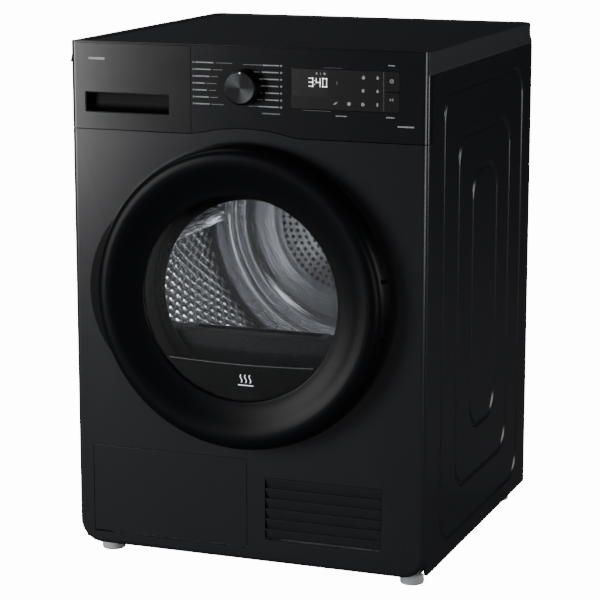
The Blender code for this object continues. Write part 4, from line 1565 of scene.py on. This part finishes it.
        # painted shade: the pocket takes the darker moulding colour, not the fascia's, to darken the recess
        self.keep(self.pocket(), DARK, Body.DRAWER, "fascia_finish")
        outline = rounded(0.0780, 0.7570, 0.2262, 0.8190, 0.0012)
        glass = Shaper.sheet("display_glass", [outline], -0.0030, -0.0002)
        self.keep(Shaper.soften(glass, 0.0004), GLOSS, Body.CABINET, "display_black", "display_window")
        shown = {"slot": "display_black"}
        screen = Print([rounded(0.0796, 0.7772, 0.1372, 0.8178, 0.0020)])
        self.mark("display_screen", screen, SCREEN_H, SCREEN, **shown)
        figures = Print()
        for left, figure in ((0.1055, "3"), (0.1175, "4"), (0.1280, "0")):
            digit(figures, left, 0.7915, 0.0076, 0.0138, figure)
        for z in (0.7952, 0.8012):
            figures.bar(0.1148, 0.1161, z, 0.0013)
        self.mark("display_digits", figures, LIT_H, WHITE_GLOW, **shown)
        small = Print().ring(0.1187, 0.8120, 0.0017, 0.0009, 10).bar(0.1244, 0.1254, 0.8120, 0.0030)
        small.ring(0.1315, 0.8120, 0.0019, 0.0006, 8)
        self.mark("display_symbols", small, LIT_H, PRINT_GLOW, **shown)
        tick = Print().bar(0.1512, 0.1522, 0.7984, 0.0046).bar(0.2261, 0.2264, 0.7880, 0.0600)
        self.mark("display_tick", tick, LIT_H, FAINT_GLOW, **shown)
        self.mark("option_icons", self.icons(), ICON_H, ICONS, **shown)
        rod = [(0, -0.006), (0.003, -0.006), (0.003, -0.02), (0, -0.02)]
        keys = (("power", Body.POWER, 0.7884, 0.8190), ("start", Body.START, 0.7570, 0.7876))
        for name, body, low, high in keys:
            cap = Shaper.sheet(f"{name}_cap", [rounded(0.2268, low, 0.2520, high, 0.001)], -0.0060, -0.0002)
            self.keep(Shaper.soften(cap, 0.0004), GLOSS, body, "fascia_finish", f"{name}_key")
            stem = Shaper.lathe(f"{name}_stem", rod, 0.2394, (low + high) / 2, 24)
            self.keep(stem, GREY, body, "fascia_finish")
        power = Print().ring(0.2395, 0.8045, 0.0032, 0.0019, 16).disc(0.2395, 0.8045, 0.0007)
        self.mark("power_mark", power, ICON_H, ICONS, Body.POWER)
        start = Print([[(0.2366, 0.7738), (0.2392, 0.7763), (0.2366, 0.7788)]])
        start.bar(0.2400, 0.2408, 0.7763, 0.0050).bar(0.2415, 0.2423, 0.7763, 0.0050)
        self.mark("start_mark", start, ICON_H, ICONS, Body.START)
        self.mark("fascia_print", self.panel_print(), PRINT_H, PRINT_GLOW)
        badge = Print().bar(-0.2660, -0.2380, 0.8225, 0.0034)
        self.mark("drawer_badge", badge, PRINT_H, PRINT_GLOW, Body.DRAWER)
        faint = Print().words(0.0290, 0.0590, self.right_top - self.right_pitch * 7, 0.0020, 17)
        faint.bar(0.0960, 0.1420, 0.7550, 0.0004).bar(0.1300, 0.1600, 0.8213, 0.0004)
        self.mark("faint_print_glow", faint, PRINT_H, FAINT_GLOW)
        self.knob()


@dataclass
class Door(Assembly):
    """Round glazed door."""

    rim: float = 0.2445
    glass: float = 0.164

    def ring(self) -> Object:
        """The hollow outer ring.

        Returns:
            The object.
        """
        crest = (0.2220, 0.0450)
        wall = [(self.rim, 0.0128), (0.2424, 0.0250), (0.2392, 0.0352), (0.2345, 0.0412), (0.2285, 0.0442)]
        wall.append(crest)
        slope = [crest, (0.2140, 0.0442), (0.2030, 0.0410), (0.1900, 0.0358), (0.1760, 0.0312)]
        slope.append((0.1662, 0.0292))
        face = bow(wall, 5) + bow(slope, 5)[1:]
        lip = [(0.1648, 0.0288), (self.glass, 0.0280), (self.glass, 0.0264), (0.1730, 0.0264)]
        inner = [(0.2030, 0.0378), (0.2140, 0.0411), (0.2220, 0.0420), (0.2325, 0.0385), (0.2392, 0.0240)]
        inner += [(0.2412, 0.0152), (0.2230, 0.0152), (0.2230, 0.0128)]
        made = Shaper.lathe("door_ring_skin", face + lip + inner, 0, DOOR_Z, 160)
        tools = [Shaper.block("tool", (0.185, 0.2345), (DOOR_Z - 0.052, DOOR_Z + 0.052), (0.010, 0.0170))]
        return Shaper.settle(Shaper.cut(made, tools + self.notches()), 40)

    @staticmethod
    def notches() -> list[Object]:
        """Cutters for the two hinge arms.

        Returns:
            The cutters.
        """
        middles = [DOOR_Z + side * HINGE_ARM_Z for side in (-1, 1)]
        spans = [(middle - HINGE_NOTCH, middle + HINGE_NOTCH) for middle in middles]
        return [Shaper.block("tool", (0.190, 0.260), z, (-0.002, 0.0330)) for z in spans]

    def grip(self) -> Object:
        """The crescent grip on the free side.

        Returns:
            The object.
        """
        lip = Shaper.sheet("door_grip", [circle(-0.0945, DOOR_Z, 0.1675)], 0.0080, 0.0180)
        tool = Shaper.sheet("tool", [circle(0, DOOR_Z, 0.2418, 160)], 0.0, 0.03)
        return Shaper.soften(Shaper.cut(lip, [tool]), 0.0022, 3)

    def build(self) -> None:
        """Ring, grip, glass, lens, symbol, liner and seal."""
        self.keep(self.ring(), DOOR_BLACK, Body.DOOR, "door_black", "door_ring")
        self.keep(self.grip(), DOOR_BLACK, Body.DOOR, "door_black")
        pane = [(0, 0.0258), (0.1690, 0.0258), (0.1700, 0.0250), (0.1700, 0.0222), (0, 0.0222)]
        pane = Shaper.lathe("window_pane", pane, 0, DOOR_Z)
        self.keep(pane, GLASS, Body.DOOR, "clear_glass", "door_window")
        inner = [(0, -0.0234), (0.1640, -0.0234), (0.1650, -0.0242), (0.1650, -0.0272), (0, -0.0272)]
        pane = Shaper.lathe("inner_pane", inner, 0, DOOR_Z)
        self.keep(pane, INNER_GLASS, Body.DOOR, "clear_glass", "door_inner_glass")
        arch = segment(0.1665, 0.3560)
        (x0, _), (x1, _) = arch[0], arch[-1]
        top = [(x1 + (x0 - x1) * i / 24, 0.3560 - 0.004 * math.sin(math.pi * i / 24)) for i in range(1, 24)]
        lens = Shaper.soften(Shaper.sheet("lens_skin", [arch + top], 0.0190, 0.0212), 0.0006)
        self.keep(lens, LENS, Body.DOOR, "door_black", "door_lens")
        # painted highlight: a thin pale line along the top edge of the dark lens
        line = [(x, FRONT - 0.0214, z - 0.0008) for x, z in [arch[-1], *top, arch[0]]]
        self.keep(Shaper.tube("lens_edge_highlight", line[1:-1], 0.0004), FAINT_GLOW, Body.DOOR, "door_black")
        mark = Print()
        for i in range(3):
            x = 0.0075 * i
            wave = [(x + 0.0016 * math.sin(math.tau * k / 12), 0.3225 + 0.0011 * k) for k in range(13)]
            far = [(u + 0.0014, v) for u, v in wave]
            mark.shapes += [list(side) for side in zip(wave, far, far[1:], wave[1:])]
        mark.bar(-0.0045, 0.0215, 0.3185, 0.0013)
        # painted light: the lens symbol glows though it is no lamp
        self.keep(Shaper.marks("lens_symbol", mark.shapes, 0.02128), WHITE_GLOW, Body.DOOR, "door_black")
        liner = [(0.2300, 0.0118), (0.2294, 0.0124), (0.1670, 0.0124), (0.1730, 0.0068), (0.1700, -0.0276)]
        liner += [(0.1500, -0.0276), (0.1500, -0.0294), (0.1508, -0.0300), (0.1725, -0.0300)]
        liner += [(0.1755, -0.0280), (0.1790, 0.0042), (0.2300, 0.0042)]
        cup = Shaper.cut(Shaper.lathe("liner_cup", liner, 0, DOOR_Z), self.notches())
        self.keep(Shaper.settle(cup, 40), DARK, Body.DOOR, "dark_plastic", "door_liner")
        seal = [(0.1965, 0.0038), *arc(0.1925, 0.0026, 0.0030, -20, -160, 9), (0.1885, 0.0038)]
        seal = [(r, max(h, 0.0004)) for r, h in seal]
        self.keep(Shaper.lathe("seal_lip", seal, 0, DOOR_Z), RUBBER, Body.DOOR, "seal_rubber", "door_seal")


@dataclass
class Drum(Assembly):
    """What shows through the window: drum, rear wall and the dark lip below."""

    radius: float = DRUM_R
    front: float = 0.085
    rear: float = 0.493

    def shell(self) -> Object:
        """The drum shell.

        Returns:
            The object.
        """
        r, a, b = self.radius, -self.front, -self.rear
        outer = [(0.242, a), (0.264, a), (0.2682, a - 0.0012), (r, a - 0.005), (r, b)]
        inner = [(r - 0.0015, b), (r - 0.0016, a - 0.005), (0.2670, a - 0.0028)]
        inner += [(0.2645, a - 0.0016), (0.242, a - 0.0016)]
        return Shaper.lathe("drum_skin", outer + inner, 0, DRUM_Z, 144)

    @staticmethod
    def rear_wall() -> Object:
        """The pressed rear wall with its two rings.

        Returns:
            The object.
        """
        h = -0.4965
        face = [(0, h + 0.0058), (0.1300, h + 0.0058), (0.1380, h + 0.0045), (0.1430, h)]
        rings = [(0.1800, h), (0.1880, h + 0.0035), (0.2000, h + 0.0094), (0.2100, h + 0.0052)]
        rings += [(0.2165, h + 0.0020), (0.2250, h + 0.0048), (0.2330, h + 0.0068), (0.2420, h + 0.0036)]
        rings += [(0.2500, h), (0.2830, h)]
        front = face + bow(rings, 5)
        back = [(r, z - 0.0016) for r, z in front[::-1]]
        return Shaper.lathe("rear_wall_skin", front + back, 0, DRUM_Z, 144)

    @staticmethod
    def throat() -> Object:
        """The front support's throat ring."""
        profile = [(0.1915, -0.0025), (0.1915, -0.0810), (0.1880, -0.0810), (0.1880, -0.0035)]
        return Shaper.lathe("throat_skin", [*profile, (0.1890, -0.0025)], 0, DOOR_Z, 144)

    @staticmethod
    def slot() -> Object:
        """Cutter for the slot that the lint filter drops into."""
        return Shaper.block("tool", (-0.1125, 0.1125), (0.2620, 0.400), (-0.0715, -0.0405))

    def build(self) -> None:
        """Drum, paddles, rear wall, throat and roller pins."""
        self.keep(self.shell(), EMBOSSED, Body.DRUM, "drum_steel", "drum_shell")
        root = self.radius - 0.0040
        shape = [(root, -0.024), (root, 0.024), (0.240, 0.012), (0.226, 0.0085), (0.224, 0.006)]
        shape += [(0.224, -0.006), (0.226, -0.0085), (0.240, -0.012)]
        lifters = (("lifter_right_skin", "drum_lifter_1", 1), ("lifter_left_skin", "drum_lifter_2", -1))
        for name, node, side in lifters:
            outline = [(side * r, DRUM_Z + side * t) for r, t in shape]
            lifter = Shaper.sheet(name, [outline], FRONT - 0.175, FRONT + 0.160)
            self.keep(Shaper.soften(lifter, 0.0020, 3, 20), STEEL, Body.DRUM, "drum_steel", node)
        self.keep(self.rear_wall(), SCREENED, Body.CABINET, "drum_steel", "rear_bulkhead")
        outlines = [rounded(-0.287, 0.205, 0.287, 0.795, 0.03), circle(0, DRUM_Z, 0.281, 144)]
        frame_plate = Shaper.sheet("rear_frame_skin", outlines, -0.4981, -0.4966)
        self.keep(frame_plate, ZINC, Body.CABINET, "zinc_steel")
        outlines = [rounded(-0.286, 0.205, 0.286, 0.755, 0.03), circle(0, DOOR_Z, 0.1895)]
        plate = Shaper.sheet("bulkhead_skin", outlines, -0.0810, -0.0755)
        self.keep(plate, DARK, Body.CABINET, "dark_plastic", "front_bulkhead")
        throat = Shaper.settle(Shaper.cut(self.throat(), [self.slot()]), 40)
        self.keep(throat, DARK, Body.CABINET, "dark_plastic")
        lip = Shaper.sheet("filter_housing", [segment(0.1888, 0.388)], -0.0805, -0.0335)
        lip = Shaper.soften(Shaper.cut(lip, [self.slot()]), 0.0020, 3)
        self.keep(lip, DARK, Body.CABINET, "dark_plastic")
        for place, start, stop in (("front", 0.078, 0.106), ("rear", 0.4972, 0.466)):
            for side in (-1, 1):
                x, z = side * 0.190, 0.2736
                points = [(x, FRONT + d, z) for d in (start, stop)]
                name = f"roller_pin_{place}_{'left' if side < 0 else 'right'}"
                self.keep(Shaper.tube(name, points, 0.004), ZINC, Body.CABINET, "zinc_steel")


@dataclass
class Feet(Assembly):
    """Four adjustable feet."""

    def build(self) -> None:
        """Two front and two rear feet."""
        profile = [(0, 0.052), (0.0050, 0.052), (0.0055, 0.0512), (0.0055, 0.0172)]
        profile += [(0.0120, 0.0160), (0.0172, 0.0138)]
        profile += bow([(0.0190, 0.0110), (0.0195, 0.0060), (0.0193, 0.0018), (0.0183, 0.0)], 3) + [(0, 0)]
        for place, y in (("front", -0.226), ("rear", 0.270)):
            for side, x in (("left", -0.262), ("right", 0.262)):
                name = f"foot_{place}_{side}"
                made = Shaper.lathe(name + "_skin", profile, x, y, 48, Facing.UP)
                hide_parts(name)
                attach(made, name)
                self.pieces.append((made, FOOT_GLOW))
                log.info("%s stands for %s", made.name, name)


@dataclass
class Carried(Assembly):
    """CAD pieces that keep their own shape and get a finish from their slot."""

    def build(self) -> None:
        """Pairs each CAD node with the finish of its slot."""
        slots = {part["node"]: part["material_slot"] for part in frame["record"]["subparts"]}
        for name, obj in frame["nodes"].items():
            finish = SLOT_FINISH[slots[name]]
            self.pieces.append((obj, finish))
            log.info("%s keeps its shape with %s", name, finish.name)


# --------------------------------------------------------------------------- studio


@dataclass
class Studio:
    """Camera, floor and soft lights."""

    lens: float = 135.96
    place: tuple[float, float, float] = (1.3183, -3.5159, 1.1733)
    yaw: float = 20.762
    pitch: float = 11.684
    roll: float = -0.023
    backdrop: float = 14.0
    ambient: float = 0.010
    dim: float = 0.14

    def camera(self) -> None:
        """Sets the camera where the object is seen from."""
        data = bpy.data.cameras.new("camera")
        data.lens = self.lens
        data.sensor_width = 36.0
        made = linked("camera", data)
        yaw, pitch = math.radians(self.yaw), math.radians(self.pitch)
        level = math.cos(pitch)
        ahead = Vector((-math.sin(yaw) * level, math.cos(yaw) * level, -math.sin(pitch)))
        turn = ahead.to_track_quat("-Z", "Y").to_matrix().to_4x4()
        roll = Matrix.Rotation(math.radians(self.roll), 4, "Z")
        made.matrix_world = Matrix.Translation(self.place) @ turn @ roll
        bpy.context.scene.camera = made

    @staticmethod
    def lamp(name: str, at: tuple, aim: tuple, size: tuple[float, float], power: float) -> None:
        """Adds a soft rectangular light.

        Args:
            name: Light name.
            at: Where it stands.
            aim: What it faces.
            size: Width and height.
            power: Watts.
        """
        data = bpy.data.lights.new(name, "AREA")
        data.shape = "RECTANGLE"
        data.size, data.size_y = size
        data.energy = power
        made = linked(name, data)
        made.visible_camera = made.visible_transmission = False
        turn = (Vector(aim) - Vector(at)).to_track_quat("-Z", "Y").to_matrix().to_4x4()
        made.matrix_world = Matrix.Translation(at) @ turn

    def lights(self) -> None:
        """Surround, four soft lights about the dryer and three small ones inside its drum."""
        world = bpy.data.worlds.new("surround")
        world.use_nodes = True
        bpy.context.scene.world = world
        graph = Graph(world.node_tree)
        seen = graph.node("Background")
        seen.inputs[0].default_value = (1, 1, 1, 1)
        seen.inputs[1].default_value = self.backdrop
        cast = world.node_tree.nodes["Background"]
        cast.inputs[0].default_value = (0.92, 0.95, 1.0, 1)
        cast.inputs[1].default_value = self.ambient
        mix = graph.node("MixShader")
        graph.feed(mix, graph.node("LightPath").outputs["Is Camera Ray"], cast.outputs[0], seen.outputs[0])
        graph.set(world.node_tree.nodes["World Output"].inputs[0], mix.outputs[0])
        self.lamp("key", (-2.28, -2.76, 0.98), (0, 0, 0.60), (1.3, 1.8), 92.0)
        self.lamp("top", (-1.5, 0.3, 2.6), (-0.1, 0, 0.85), (1.4, 1.4), 17.0)
        self.lamp("side", (3.2, 0.6, 0.9), (0.3, 0, 0.4), (1.4, 1.4), 29.0)
        self.lamp("fill", (2.1, -2.3, 0.45), (0.2, -0.28, 0.18), (1.4, 0.9), 18.0)
        self.lamp("drum", (0.08, -0.17, 0.700), (-0.16, 0.12, 0.36), (0.12, 0.05), 0.28)
        self.lamp("drum_low", (-0.20, -0.19, 0.42), (0.0, 0.21, 0.50), (0.03, 0.10), 0.07)
        self.lamp("drum_side", (0.14, 0.12, 0.40), (-0.26, -0.06, 0.34), (0.10, 0.10), 1.05)

    def floor(self) -> None:
        """A floor that is pale to the camera and dim in reflections."""
        mesh = bpy.data.meshes.new("floor")
        mesh.from_pydata([(-8, -6, 0), (8, -6, 0), (8, 10, 0), (-8, 10, 0)], [], [(0, 1, 2, 3)])
        made = linked("floor", mesh)
        pale = Finish("floor_pale", (0.90, 0.90, 0.90), 0.8, 0.02, 40.0, 0.01, 0.0).material()
        graph = Graph(pale.node_tree)
        seen = graph.node("LightPath").outputs["Is Camera Ray"]
        shader = pale.node_tree.nodes["Principled BSDF"]
        shader.inputs["Emission Color"].default_value = (1, 1, 1, 1)
        graph.set(shader.inputs["Emission Strength"], graph.math("MULTIPLY", seen, self.backdrop))
        tone = graph.math("MULTIPLY_ADD", seen, 1 - self.dim, self.dim)
        graph.set(shader.inputs["Base Color"], graph.scaled(graph.effect_colour(), tone))
        mesh.materials.append(pale)
        made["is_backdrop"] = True

    def build(self) -> None:
        """Makes the floor and lights; the camera is made first, on its own."""
        self.floor()
        self.lights()


def corners() -> list[list[float]]:
    """The shown object's box."""
    return [[float(v) for v in corner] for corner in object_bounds()]


def main() -> None:
    """Builds and dresses the dryer."""
    logging.basicConfig(level=logging.INFO, format="%(message)s")
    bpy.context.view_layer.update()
    studio = Studio()
    studio.camera()
    assemblies: list[Assembly] = [Carried(), Casing(), Grille(), Flap(), Controls(), Door(), Drum(), Feet()]
    for assembly in assemblies:
        log.info("building %s", type(assembly).__name__)
        assembly.build()
        assembly.dress()
    studio.build()


if __name__ == "__main__":
    main()
